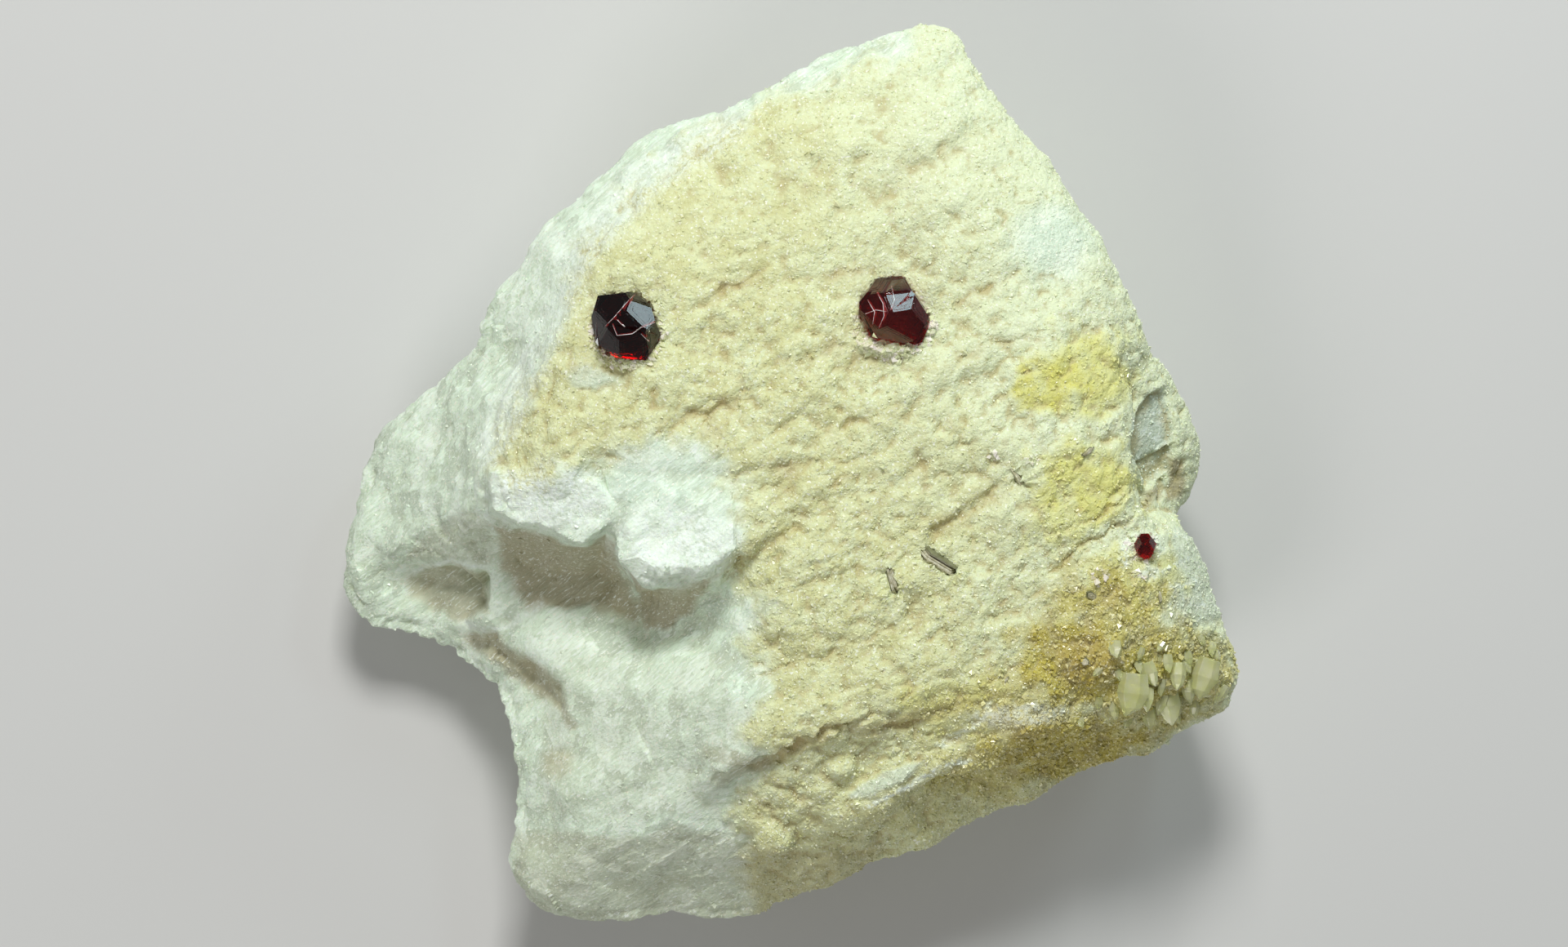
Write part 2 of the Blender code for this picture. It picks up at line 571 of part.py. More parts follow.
def direction(bearing, tilt):
    """Unit vector from a bearing anticlockwise from +X and a tilt from straight up."""
    turn, lean = math.radians(bearing), math.radians(tilt)
    return Vector((math.sin(lean) * math.cos(turn), math.sin(lean) * math.sin(turn), math.cos(lean)))


def garnet_planes(facets):
    """Facets seen from above, and a plainer set for the underside that the socket hides."""
    planes = [(direction(bearing, tilt), distance) for bearing, tilt, distance in facets]
    reach = facets[0][2]
    planes += [(direction(bearing, UNDERSIDE_TILT), reach) for bearing in UNDERSIDE_BEARINGS]
    planes.append((direction(0, 180), BASE_SHARE * reach))
    return planes


def crystal(name, planes, share, grow, place, surface=None):
    """A crystal bounded by its planes, scaled by share, with each plane then moved out by grow."""
    bm = bmesh.new()
    bmesh.ops.create_cube(bm, size=6 * planes[0][1])
    for normal, distance in planes:
        geometry = bm.verts[:] + bm.edges[:] + bm.faces[:]
        reach = normal * (distance * share + grow)
        cut = bmesh.ops.bisect_plane(
            bm, geom=geometry, plane_co=reach, plane_no=normal, clear_outer=True
        )
        rim = [item for item in cut["geom_cut"] if isinstance(item, bmesh.types.BMEdge)]
        if len(rim) > 2:
            bmesh.ops.edgeloop_fill(bm, edges=rim)
    bmesh.ops.remove_doubles(bm, verts=bm.verts[:], dist=CORNER_MERGE)
    return set_down(object_from(bm, name, surface), place, (0, 0, 0))


def build_garnet(spec, matrix, tree, surface):
    """A garnet with its parallel growths, and the socket that it sits in."""
    planes = garnet_planes(spec["facets"])
    x, y = spec["place"]
    middle = Vector((x, y, height_at(tree, x, y) + spec["rise"]))
    garnet = crystal(spec["name"], planes, 1.0, 0.0, middle, surface)
    parts = [(Vector(), 1.0)] + [(Vector(offset), share) for offset, share in spec["growths"]]
    for number, (offset, share) in enumerate(parts):
        if number:
            growth = crystal(f"{spec['name']}_growth_{number}", planes, share, 0.0, middle + offset)
            join_or_cut(garnet, growth, "UNION")
        name = f"{spec['name']}_socket_{number}"
        socket = crystal(name, planes, share, SOCKET_GAP, middle + offset)
        join_or_cut(matrix, socket, "DIFFERENCE")


def blade(name, size, grow, place, turn, surface=None):
    """A thin six-sided blade with pointed ends, standing in the face by its depth."""
    length, width, depth = (side + 2 * grow for side in size)
    bm = bmesh.new()
    floor = bm.faces.new([bm.verts.new((x * length, y * width, -depth / 2)) for x, y in BLADE_OUTLINE])
    raised = bmesh.ops.extrude_face_region(bm, geom=[floor])
    top = [item for item in raised["geom"] if isinstance(item, bmesh.types.BMVert)]
    bmesh.ops.translate(bm, verts=top, vec=(0, 0, depth))
    return set_down(object_from(bm, name, surface), place, turn)


def build_blade(spec, matrix, tree, surface):
    x, y = spec["place"]
    middle = (x, y, height_at(tree, x, y) + spec["rise"] - spec["size"][2] / 2)
    blade(spec["name"], spec["size"], 0.0, middle, spec["turn"], surface)
    slot = blade(f"{spec['name']}_slot", spec["size"], SOCKET_GAP, middle, spec["turn"])
    join_or_cut(matrix, slot, "DIFFERENCE")


def grow_corner_crystal(number, matrix, tree):
    """A blunt six-sided crystal fused to the lower right corner, lying along the slope."""
    (x, y), width, length, bearing = CORNER_CRYSTALS[number]
    bm = bmesh.new()
    rings = []
    for along, share in CRYSTAL_SECTIONS:
        ring = []
        for side in range(CRYSTAL_SIDES):
            angle = 2 * math.pi * side / CRYSTAL_SIDES
            across = 0.5 * width * share * math.cos(angle)
            up = 0.5 * CRYSTAL_THICKNESS * width * share * math.sin(angle)
            ring.append(bm.verts.new((along * length, across, up)))
        rings.append(ring)
    tip = bm.verts.new((0.5 * length, 0, 0))
    for i in range(CRYSTAL_SIDES):
        j = (i + 1) % CRYSTAL_SIDES
        for lower, upper in zip(rings, rings[1:]):
            bm.faces.new([lower[i], lower[j], upper[j], upper[i]])
        bm.faces.new([rings[-1][i], rings[-1][j], tip])
    bm.faces.new(rings[0])
    middle = (x, y, height_at(tree, x, y) + CRYSTAL_RISE * width)
    grown = set_down(object_from(bm, f"corner_crystal_{number}"), middle, (0, CRYSTAL_SLOPE, bearing))
    join_or_cut(matrix, grown, "UNION")


def main():
    clear_scene()
    surfaces = {name: material(name) for name in COLOURS}
    matrix, tree = build_matrix(surfaces["matrix"])
    for number in range(len(CORNER_CRYSTALS)):
        grow_corner_crystal(number, matrix, tree)
    for spec in GARNETS:
        build_garnet(spec, matrix, tree, surfaces["garnet"])
    for spec in MICA_BLADES:
        build_blade(spec, matrix, tree, surfaces["mica"])


main()
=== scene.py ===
"""Looks of a mineral specimen: dark red garnets and small mica blades set in pale granular rock.

The rock is the CAD block remeshed finely and broken up again in mesh code. Grains, flakes and clear
crystals are joined meshes strewn over it. Lengths in the tables are millimetres, angles are degrees,
and X, Y and Z are the frame's.
"""

import math

import bmesh
import bpy
import numpy as np
from mathutils import Matrix, Vector
from mathutils.bvhtree import BVHTree


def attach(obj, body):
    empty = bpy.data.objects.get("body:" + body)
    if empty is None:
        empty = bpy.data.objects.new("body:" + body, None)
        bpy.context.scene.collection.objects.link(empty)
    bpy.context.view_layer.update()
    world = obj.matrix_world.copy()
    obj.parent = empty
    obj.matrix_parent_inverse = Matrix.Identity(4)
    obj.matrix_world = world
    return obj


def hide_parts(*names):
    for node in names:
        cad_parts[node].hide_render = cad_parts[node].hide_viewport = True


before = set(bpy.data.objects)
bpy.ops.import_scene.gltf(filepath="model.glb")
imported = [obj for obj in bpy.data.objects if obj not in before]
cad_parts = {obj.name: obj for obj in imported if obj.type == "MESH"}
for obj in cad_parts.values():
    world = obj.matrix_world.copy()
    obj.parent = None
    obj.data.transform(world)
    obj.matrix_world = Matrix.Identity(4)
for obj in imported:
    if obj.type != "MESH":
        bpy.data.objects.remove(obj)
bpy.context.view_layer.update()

MM = 0.001

# Camera: straight above the face, at the distance where one millimetre there is 12.5 pixels of a
# frame 1920 pixels wide
CAMERA_PLACE = (-0.48, -0.24, 576.0)
CAMERA_ABOVE_FACE = 550.0
SENSOR_WIDTH = 36.0
FRAME_PIXELS = 1920
PIXELS_PER_MM = 12.5

# Lights: name, place, width, power in watts and colour
LIGHTS = [
    ("key", (0, 365, 440), 150, 2.5, (1.0, 1.0, 0.98)),
    ("fill", (-230, -350, 400), 240, 0.8, (1.0, 0.98, 0.95)),
    ("left garnet glint", (394, 385, 279), 130, 0.4, (0.75, 0.95, 1.0)),
    ("right garnet glint", (252, 393, 432), 90, 0.25, (0.72, 0.95, 1.0)),
]
SKY_GREY = 0.18
FLOOR_WIDTH = 6000
FLOOR_COLOUR = (0.60, 0.60, 0.59, 1)

# Edge length of the rock's even mesh, rounds and share of smoothing, the triangles that are kept, and
# the angle from which its edges are sharp
ROCK_EDGE = 0.31
SMOOTHING_ROUNDS = 16
SMOOTHING_SHARE = 0.5
ROCK_TRIANGLES = 192000
SHARP_ANGLE = 30

# The white cleavage stone lies left of this line, which is closed well outside the block
WHITE_STONE = [
    (15, 48), (9.6, 40.4), (3.2, 38.2), (-2.4, 36.0), (-8.2, 33.4), (-12.6, 30.4), (-16.4, 26.8),
    (-19.6, 22.6), (-21.4, 17.6), (-22.8, 12.8), (-25.6, 8.0), (-28.2, 4.0), (-30.4, 0.8),
    (-26.8, -1.4), (-23.4, -1.2), (-20.2, 0.0), (-16.8, 1.4), (-13.0, 2.4), (-9.0, 2.8), (-6.0, 1.8),
    (-5.8, -1.8), (-4.4, -6.0), (-5.6, -9.6), (-2.6, -13.4), (-5.4, -17.0), (-1.8, -21.0),
    (-5.0, -25.4), (-1.8, -29.0), (-5.2, -33.0), (-4.0, -48), (-60, -48), (-60, 48),
]
WHITE_FADE = 1.6

# Round patches: x, y, half widths along X and Y, and strength
YELLOW_PATCHES = [
    (26.1, 8.6, 3.4, 2.4, 0.85), (28.8, 9.4, 4.4, 3.6, 0.65), (29.2, -0.8, 4.6, 3.6, 0.7),
    (26.8, -4.6, 3.2, 2.6, 0.5), (33.6, -10.8, 4.0, 3.0, 0.5), (16.4, -23.0, 5.0, 2.6, 0.35),
]
OCHRE_PATCHES = [
    (31.0, -14.0, 5.6, 4.6, 0.8), (28.4, -18.6, 6.2, 4.6, 1.0), (35.4, -20.0, 6.0, 5.0, 0.9),
    (23.6, -21.4, 6.2, 3.2, 0.55), (18.6, -23.6, 4.4, 2.0, 0.3), (28.0, -27.0, 9.0, 3.6, 0.95),
    (20.0, -29.8, 6.0, 2.8, 0.6), (12.6, -33.6, 5.0, 2.0, 0.15), (41.0, -20.0, 3.6, 4.0, 0.75),
]
BROWN_PATCHES = [
    (29.2, -18.4, 3.0, 2.2, 0.6), (-0.1, 0.1, 1.4, 1.0, 0.5), (-6.5, 6.8, 0.5, 0.45, 1.0),
    (-22.9, -29.0, 1.3, 1.5, 0.6), (12.6, 0.2, 1.1, 0.8, 0.4), (-7.4, 3.9, 1.2, 0.8, 0.4),
    (22.6, -24.6, 3.6, 1.8, 0.35), (31.4, -12.2, 1.6, 1.1, 0.4),
]
PEARLY_PATCHES = [
    (25.6, 22.4, 3.8, 3.4, 0.9), (-18.8, 8.8, 2.4, 1.0, 0.7), (-13.4, -0.6, 4.6, 2.4, 0.7),
    (34.9, -8.0, 1.7, 1.9, 0.8), (-5.0, -14.6, 2.2, 2.0, 0.5),
]
# White frost, with painted light that brightens the terrace and the knob's top
FROST_AND_PAINTED_LIGHT_PATCHES = [
    (-10.8, -7.0, 5.4, 3.4, 1.0), (-23.0, -2.8, 5.8, 2.6, 1.0), (22.6, -24.0, 4.0, 0.9, 0.7),
    (-14.6, 1.4, 3.4, 1.0, 0.4), (33.0, -7.8, 0.7, 1.4, 0.8), (35.2, -10.0, 1.2, 0.6, 0.7),
]

# White lines and ridges, and the wide bevel of the upper left: half width, strength and course
FROST_LINES = [
    (0.22, 0.9, [(7.9, -32.9), (11.5, -31.2), (14.7, -29.2), (17.9, -28.4)]),
    (0.4, 0.7, [(14.8, -26.9), (17.0, -25.6), (20.0, -23.6), (24.0, -23.0)]),
    (0.4, 0.6, [(19.4, -22.9), (23.0, -24.4), (26.8, -23.4)]),
    (0.18, 0.9, [(34.7, 3.7), (35.8, 4.2), (37.1, 5.1)]),
    (0.18, 0.9, [(36.4, 3.0), (37.0, 3.4)]),
    (0.16, 0.8, [(34.9, 0.2), (36.2, 0.9), (37.6, 2.1)]),
    (0.16, 0.7, [(36.6, -9.8), (39.4, -8.6)]),
    (0.16, 0.7, [(37.1, -11.6), (40.3, -10.8)]),
    (0.16, 0.7, [(37.3, -13.2), (41.0, -13.2)]),
    (1.7, 0.55, [(-29.5, 2.0), (-26.5, 8.0), (-23.5, 15.0), (-20.5, 21.5), (-14.0, 28.5), (-6.0, 34.0)]),
    (0.25, 0.8, [(-38.2, -10.2), (-34.2, -9.0), (-31.6, -9.4), (-30.0, -9.9)]),
    (0.3, 0.8, [(-32.4, -15.3), (-30.4, -16.0), (-28.0, -15.4), (-24.6, -13.4)]),
]

# Outlines where shade is painted into the stone's colour, brown in tone, each with its strength: the
# knob's front, the hollow, the nose and its recess, two gaps at the right, the bottom edge, the lower
# left, the end of a ledge, and the steps under the nose
KNOB_FRONT = [
    (-15.3, -9.2), (-13.3, -9.9), (-10.9, -10.9), (-9.7, -11.0), (-8.3, -9.1), (-6.9, -8.5),
    (-5.5, -8.8), (-7.7, -11.1), (-10.1, -14.3), (-11.7, -15.5), (-14.1, -15.8), (-15.2, -12.2),
]
SHADED_OUTLINES = [
    (KNOB_FRONT, 0.9),
    ([(-29.3, -4.4), (-26.7, -5.7), (-24.5, -5.8), (-21.3, -7.3), (-20.1, -7.4), (-18.5, -6.4),
      (-17.1, -5.4), (-16.7, -9.0), (-15.3, -12.2), (-14.9, -15.4), (-18.1, -13.6), (-21.3, -13.6),
      (-24.5, -13.9), (-26.0, -13.8), (-27.4, -11.6), (-28.8, -8.6)], 0.9),
    ([(-38.6, -8.8), (-36.4, -6.6), (-33.6, -4.8), (-31.0, -3.9), (-28.9, -4.6), (-28.9, -8.8),
      (-30.4, -9.8), (-32.4, -8.9), (-34.6, -8.9)], 0.3),
    ([(-38.5, -10.6), (-34.2, -9.2), (-32.5, -9.2), (-31.4, -9.9), (-30.2, -10.1), (-30.2, -14.2),
      (-32.5, -14.8), (-35.7, -14.4), (-38.1, -12.6)], 0.7),
    ([(37.5, 1.4), (39.2, 1.0), (38.9, -2.5), (37.7, -2.5), (37.5, -0.6)], 0.9),
    ([(34.9, -1.9), (36.9, -1.4), (36.3, -3.3), (34.8, -4.0)], 0.9),
    ([(-28.0, -36.5), (-22.0, -35.8), (-16.5, -36.8), (-11.0, -34.8), (-5.5, -36.4), (0.0, -37.6),
      (6.0, -37.8), (10.0, -36.2), (8.0, -41.0), (-2.0, -46.0), (-28.0, -46.0)], 0.36),
    ([(-22.6, -17.4), (-16.0, -18.4), (-6.6, -18.0), (-4.6, -26.0), (-6.6, -33.0), (-16.0, -35.0),
      (-24.6, -34.2), (-25.0, -25.0)], 0.14),
    ([(-8.6, -26.8), (-5.4, -27.4), (-2.0, -28.2), (-1.6, -29.2), (-5.6, -29.0), (-8.8, -28.2)], 0.5),
    ([(-33.7, -17.0), (-29.3, -16.2), (-27.9, -17.5), (-25.7, -18.8), (-22.7, -20.9), (-21.3, -25.5),
      (-25.0, -22.1), (-27.0, -21.2), (-29.7, -19.1)], 0.65),
]

# Smooth grey plates and lenses: outline, how far each stands out, and strength
PLATES = [
    ([(33.6, 1.4), (33.3, 3.4), (33.9, 5.6), (35.2, 7.6), (36.8, 8.2), (37.6, 6.0), (38.0, 4.0),
      (37.9, 2.9), (36.5, 2.1), (35.0, 0.8), (34.0, 0.4)], -0.5, 1.0),
    ([(34.2, 0.4), (36.0, 1.6), (37.9, 2.7), (37.6, 0.2), (36.4, -0.8), (35.2, -1.6)], -0.9, 0.85),
    ([(36.4, -0.9), (37.3, -0.6), (37.4, -1.7), (36.4, -2.9)], -0.5, 0.5),
    ([(38.0, -5.6), (37.2, -8.6), (36.2, -10.2), (36.7, -12.6), (36.6, -14.6), (38.7, -15.4),
      (41.6, -15.4), (43.2, -14.0), (41.4, -9.4), (39.6, -5.8)], 0.0, 0.6),
    ([(5.6, -32.1), (7.5, -30.6), (9.5, -29.5), (11.7, -28.7), (13.6, -28.3), (12.2, -29.9),
      (10.1, -31.0), (7.8, -32.0)], 0.5, 0.75),
    ([(15.1, -24.3), (16.4, -23.5), (18.2, -23.4), (17.4, -24.8), (15.6, -25.3)], 0.4, 0.7),
    ([(-22.0, 9.8), (-20.6, 10.4), (-18.4, 10.2), (-17.0, 9.0), (-18.6, 8.0), (-21.2, 8.2)], 0.3, 0.4),
]

# Grooves and cracks of the granular face: depth, half width, brown stain with painted shade, and course
GROOVES = [
    (0.4, 0.5, 0.6, [(-11.2, 4.2), (-9.4, 5.6), (-7.9, 5.4), (-6.5, 6.6), (-4.0, 6.9)]),
    (0.22, 0.4, 0.8, [(-7.8, 16.4), (-6.2, 17.8), (-4.9, 17.7), (-2.6, 19.6)]),
    (0.2, 0.4, 0.7, [(3.0, 18.4), (5.2, 19.6), (6.4, 19.2), (8.6, 20.0)]),
    (0.22, 0.4, 0.6, [(16.4, 16.2), (18.0, 17.6), (19.2, 17.5), (20.6, 18.4)]),
    (0.8, 0.9, 0.5, [(-31.5, -16.8), (-28.3, -18.2), (-25.4, -20.3), (-22.6, -23.2)]),
    (0.5, 0.8, 0.55, [(13.2, -6.6), (16.0, -4.6), (19.0, -2.8), (21.8, -1.2)]),
    (0.3, 0.9, 0.25, [(9.4, 27.2), (12.4, 29.4), (16.6, 31.8)]),
    (0.55, 0.7, 0.3, [(-5.0, -9.1), (-2.4, -7.2), (0.2, -5.8), (1.6, -4.8)]),
    (0.5, 0.3, 0.5, [(-4.0, -20.2), (-1.8, -19.6), (0.6, -18.9)]),
    (0.6, 0.28, 0.5, [(25.4, -9.8), (28.4, -7.4), (31.0, -6.2), (33.6, -4.4)]),
    (0.45, 0.24, 0.4, [(27.0, -5.8), (29.6, -4.9), (32.0, -3.2), (34.0, -1.8)]),
    (1.3, 0.5, 0.9, [(-7.3, -30.4), (-2.3, -28.5), (0.3, -27.2), (3.8, -25.3), (7.8, -23.8)]),
    (0.5, 0.6, 0.7, [(4.0, -25.2), (8.6, -25.4), (12.4, -24.4), (17.2, -22.6)]),
    (0.5, 0.4, 0.5, [(-4.8, -31.2), (-2.6, -32.8), (-1.2, -34.6)]),
    (0.4, 0.4, 0.5, [(-2.4, -30.4), (0.4, -31.6), (1.8, -33.6)]),
    (0.3, 0.5, 0.3, [(2.6, -18.2), (8.2, -16.2), (13.8, -13.4)]),
    (0.25, 0.5, 0.2, [(-1.0, 9.0), (4.2, 12.6), (9.4, 11.6)]),
    (0.25, 0.45, 0.25, [(14.2, 9.2), (19.4, 12.4), (24.2, 13.0)]),
    (0.25, 0.45, 0.2, [(2.4, 3.0), (7.8, 5.4), (12.4, 5.0)]),
    (0.3, 0.5, 0.25, [(22.0, -13.4), (25.6, -11.2), (27.6, -10.6)]),
]

# Smooth lumps and lenses: x, y, height and half widths, and bearing of the longer one
LUMPS = [
    (-1.6, -36.4, 0.7, 2.0, 1.7, 0),
    (5.2, -28.9, 0.6, 1.5, 0.9, 20), (25.6, 22.4, 0.35, 3.8, 3.0, 40),
    (9.4, 11.9, 1.5, 3.0, 0.8, -8), (13.4, 13.4, 1.2, 1.6, 0.7, 50), (-16.0, 10.6, 0.9, 2.6, 0.7, 0),
    (35.0, -9.6, 0.4, 1.2, 0.6, 0),
]

# Flat faces that bound the white knob: outward normal, a point on the face
KNOB_FACES = [
    ((0.0, 0.04, 1.0), (-11.4, -5.2, 29.4)),
    ((-0.86, -0.2, 0.47), (-16.6, -5.4, 28.6)),
    ((-0.34, -0.86, 0.38), (-13.2, -10.9, 28.0)),
    ((0.62, -0.68, 0.4), (-8.3, -10.8, 28.2)),
    ((0.1, -0.9, 0.42), (-6.8, -9.8, 28.4)),
    ((0.9, 0.05, 0.42), (-5.2, -5.0, 28.8)),
    ((-0.02, 0.3, 0.95), (-11.0, -2.6, 29.3)),
]

# Box around the knob: middle and half widths, and how far its surface may be moved out and in
KNOB_MIDDLE = (-11.0, -5.6, 26.0)
KNOB_REACH = (7.6, 6.4, 7.0)
KNOB_MOVES = (-1.2, 1.6)

# Relief of the granular face: soft waves and lumps with creases between them, as size and height,
# drawn out along the bearing of the grooves, and small pits where a drawn-out noise runs low
GRANULAR_WAVES = [(8.0, 0.4), (3.2, 0.18), (1.3, 0.14)]
GRANULAR_DOMES = [(2.9, 0.62), (1.45, 0.5), (0.8, 0.28)]
GRAIN_BEARING = 27
DRAWN_OUT = np.array((1.12, 1.0, 1.0))
PIT_SIZE = (1.9, 1.2, 1.5)
PIT_DEPTH = 0.18

# Broken faces of the white stone: size, height and tilt of each set, and lumps of the flanks
WHITE_FACES = [(5.6, 1.5, 1.1), (2.4, 0.7, 1.1), (1.1, 0.3, 1.0)]
FLANK_LUMPS = [(4.2, 0.9), (1.7, 0.45), (0.8, 0.2)]

# How rounded the broken faces are, how far they stand apart in height, and how many cells are looked
# at along each side
FACE_ROUNDNESS = 0.2
FACE_STAGGER = 0.6
FACE_NEIGHBOURS = 7

# Cleavage steps across the broken stone: bearing and tilt of their climb, spacing and height
CLEAVAGE_STEPS = [(124, 84, 1.9, 0.14), (66, 70, 2.7, 0.12)]

# Bearings of the silky ridges, of the lines in the smooth plates and of the cleavage cells
STRIATION_BEARING = 38
PLATE_BEARING = 30
CLEAVAGE_BEARING = 66

# How far the borders of the cleavage cells wander
CELL_WANDER = 1.6

# Silky ridges of the left side face, the share of their height kept elsewhere, and where that face ends
STRIATION_SIZE = (5.0, 0.8, 0.8)
STRIATION_HEIGHT = 0.26
STRIATION_ELSEWHERE = 0.3
STRIATED_LEFT_OF = -24.0

# Upright ridges on the knob's front
FRONT_STRIATION_SIZE = (0.5, 5.0, 5.0)
FRONT_STRIATION_HEIGHT = 0.3

# Flat areas with sharp borders: which way they move the surface, outline, height at X = Y = 0, slopes
# along X and Y, and border width
FLAT_AREAS = [
    ("up", [(-29.3, 0.2), (-26.1, 0.7), (-22.1, 0.2), (-18.5, -1.0), (-17.1, -2.8), (-17.0, -5.1),
      (-18.5, -6.3), (-20.1, -7.2), (-21.3, -7.0), (-24.5, -5.4), (-26.7, -5.4), (-29.3, -4.0)],
     34.5, 0.30, 0.15, 1.0),
    ("down", [(-38.0, -11.2), (-34.2, -9.5), (-32.5, -9.4), (-31.4, -10.1), (-30.2, -10.3), (-30.3, -13.6),
      (-32.7, -15.2), (-35.8, -15.8), (-38.4, -15.2)], 11.7, 0.04, 0.0, 0.9),
    ("down", [(-27.0, -8.6), (-25.4, -9.4), (-22.4, -9.8), (-18.6, -9.2), (-17.2, -11.0), (-18.0, -13.0),
      (-22.0, -13.4), (-25.4, -13.4)], 19.6, 0.16, -0.05, 1.0),
]

# Crumbly top of the knob: outline, the height that it lies above, and its faces
KNOB_TOP = [
    (-16.7, -3.0), (-11.0, -1.6), (-5.3, -2.2), (-5.9, -6.6), (-5.5, -8.6), (-8.3, -9.0), (-9.7, -11.0),
    (-13.3, -9.8), (-15.3, -9.0),
]
KNOB_FOOT = 20
KNOB_CRUMBS = [(2.2, 1.0, 1.1), (1.0, 0.5, 1.0)]

# Painted shade keeps this far under a plane over the terrace, given by its height at X = 0 and its slope
# along X, and under a height over the knob
SHADE_BELOW = 1.0
SHADE_PLANE = (32.2, 0.3)
SHADE_TOP = 29.6

# How strongly painted shade and brown stain darken the creases between lumps
CREASE_SHADE_STRENGTH = 0.75

# Gap that the CAD sockets keep, closed here so that the rock grips its crystals, how far around them
# the rock is drawn in, and how far from one spot on each crystal it is measured
SOCKET_GAP = 0.3
GRIP_REACH = 1.4
CRYSTAL_REACH = 10.4

# Strewn pieces: how many, smallest and largest width, and share of the width that stands out
SUGAR_GRAINS = (24000, 0.1, 0.36, 0.22)
LOWER_GRAINS = (24000, 0.12, 0.42, 0.22)
GLASSY_GRAINS = (9000, 0.12, 0.62, 0.3)
CLEAVAGE_FLAKES = (9000, 0.1, 0.4, 0.06)
SOCKET_CHIPS = (1500, 0.2, 0.8, 0.4)

# Rings and spots with white chips: x, y, inner and outer radius
CHIP_RINGS = [
    (-15.7, 13.6, 2.9, 3.8), (10.3, 14.8, 2.9, 4.2), (34.6, -7.3, 0.8, 1.7), (30.6, -10.4, 0.0, 1.0),
    (27.9, -11.8, 0.0, 0.6), (34.3, -10.2, 0.0, 0.5), (20.0, 1.5, 0.0, 0.5), (23.7, 1.1, 0.0, 0.5),
]

# Round areas on the garnets that are kept free of grains: x, y and radius
GARNET_AREAS = [(-15.8, 14.3, 3.2), (10.3, 15.5, 3.2), (34.8, -7.3, 1.0)]

# Garnets: node, turn of the growth lines about Z, absorption density and depth of the lines
GARNETS = [
    ("garnet_left", -50, 1700, 0.35),
    ("garnet_right", 30, 360, 0.35),
    ("garnet_small", 80, 420, 0.08),
]

# Width of the garnets' fine bevels, and height and margin of the growth plates on their large facets
GARNET_BEVEL = 0.045
GROWTH_PLATES = [(0.035, 0.22), (0.03, 0.3)]

# Cracks: how far they stand out of a garnet, half width, depth and sideways lean
CRACK_RISE = 0.012
CRACK_HALF_WIDTH = 0.022
CRACK_DEPTH = 0.45
CRACK_LEAN = 0.12

# Cracks that show bright in the garnets, as runs of x, y
LEFT_CRACKS = [
    [(-14.96, 17.2), (-15.9, 16.1), (-16.9, 14.9), (-17.84, 14.0)],
    [(-17.1, 14.24), (-16.64, 13.12), (-15.2, 13.28), (-14.2, 13.9), (-12.96, 14.4)],
    [(-14.32, 13.28), (-13.6, 12.56)],
    [(-16.64, 14.64), (-15.92, 13.92)],
]
RIGHT_CRACKS = [
    [(8.5, 17.3), (9.1, 16.2), (9.2, 15.0), (8.7, 13.9)],
    [(7.6, 16.6), (8.3, 15.4), (8.1, 14.2)],
    [(9.9, 17.9), (10.2, 16.6), (9.8, 15.6)],
    [(7.4, 15.2), (8.4, 15.6), (9.4, 15.4)],
]

# Clear calcite crystals of the lower right corner: x, y, width, length and bearing
DRUSE = [
    (33.5, -21.6, 3.3, 4.4, -96), (41.3, -20.4, 3.0, 4.2, -104), (37.5, -23.0, 2.6, 3.8, -84),
    (35.4, -19.8, 1.7, 2.6, -72), (38.0, -20.2, 1.9, 2.8, -105), (35.6, -24.2, 1.5, 2.4, -85),
    (31.8, -17.6, 1.4, 1.9, -100), (39.6, -22.0, 1.2, 1.9, -92), (36.6, -21.2, 1.0, 1.8, -100),
    (39.2, -18.4, 1.0, 1.6, -80), (32.2, -20.0, 0.9, 1.4, -60), (34.2, -17.8, 0.9, 1.4, -120),
    (30.4, -22.6, 1.0, 1.5, -95), (42.0, -18.2, 1.2, 1.7, -70), (33.4, -24.6, 1.0, 1.5, -110),
    (28.6, -24.6, 0.8, 1.3, -80), (38.6, -24.4, 0.9, 1.4, -70), (36.4, -17.2, 0.8, 1.2, -130),
    (40.6, -16.6, 0.8, 1.2, -60), (30.2, -19.6, 0.8, 1.1, -140), (39.3, -21.4, 1.6, 2.6, -80),
    (34.9, -22.4, 1.5, 2.5, -112), (36.6, -22.8, 1.3, 2.3, -100), (42.6, -21.8, 1.4, 2.2, -110),
    (40.2, -23.4, 1.2, 2.0, -95), (32.0, -23.4, 1.3, 2.0, -80), (38.9, -19.4, 1.3, 2.0, -70),
    (34.0, -19.2, 1.1, 1.8, -125), (37.0, -18.9, 1.2, 1.9, -95), (41.6, -17.6, 1.0, 1.6, -120),
]

# Cross-sections of a calcite crystal: place along it and share of its width, and how many sides it has
DRUSE_SECTIONS = [(-0.5, 0.8), (-0.05, 1.0), (0.28, 0.62)]
DRUSE_SIDES = 6

# Small mica flakes and one grey grain: x, y, length, width and bearing
SMALL_FLAKES = [
    (29.1, 1.9, 1.6, 0.5, 32), (29.6, -12.2, 2.0, 0.8, -38), (36.3, -12.3, 1.4, 0.4, 98),
    (28.9, -18.6, 0.9, 0.8, 20), (21.3, -20.4, 0.8, 0.3, 60),
]

# Mica sheets: outline as shares of length and width, and for a blade how many, for a flake the size and
# lift of each
BLADE_OUTLINE = [(-0.5, 0.05), (-0.4, -0.42), (0.3, -0.5), (0.5, -0.1), (0.44, 0.4), (-0.3, 0.5)]
BLADE_SHEETS = 6
FLAKE_OUTLINE = [(-0.5, 0.1), (-0.3, -0.45), (0.3, -0.5), (0.5, 0.0), (0.25, 0.5), (-0.35, 0.4)]
FLAKE_SHEETS = [(1.0, 0.0), (0.8, 0.12), (0.5, 0.22)]


# Noise, outlines and patches

def smoothstep(values):
    held = np.clip(values, 0.0, 1.0)
    return held * held * (3.0 - 2.0 * held)


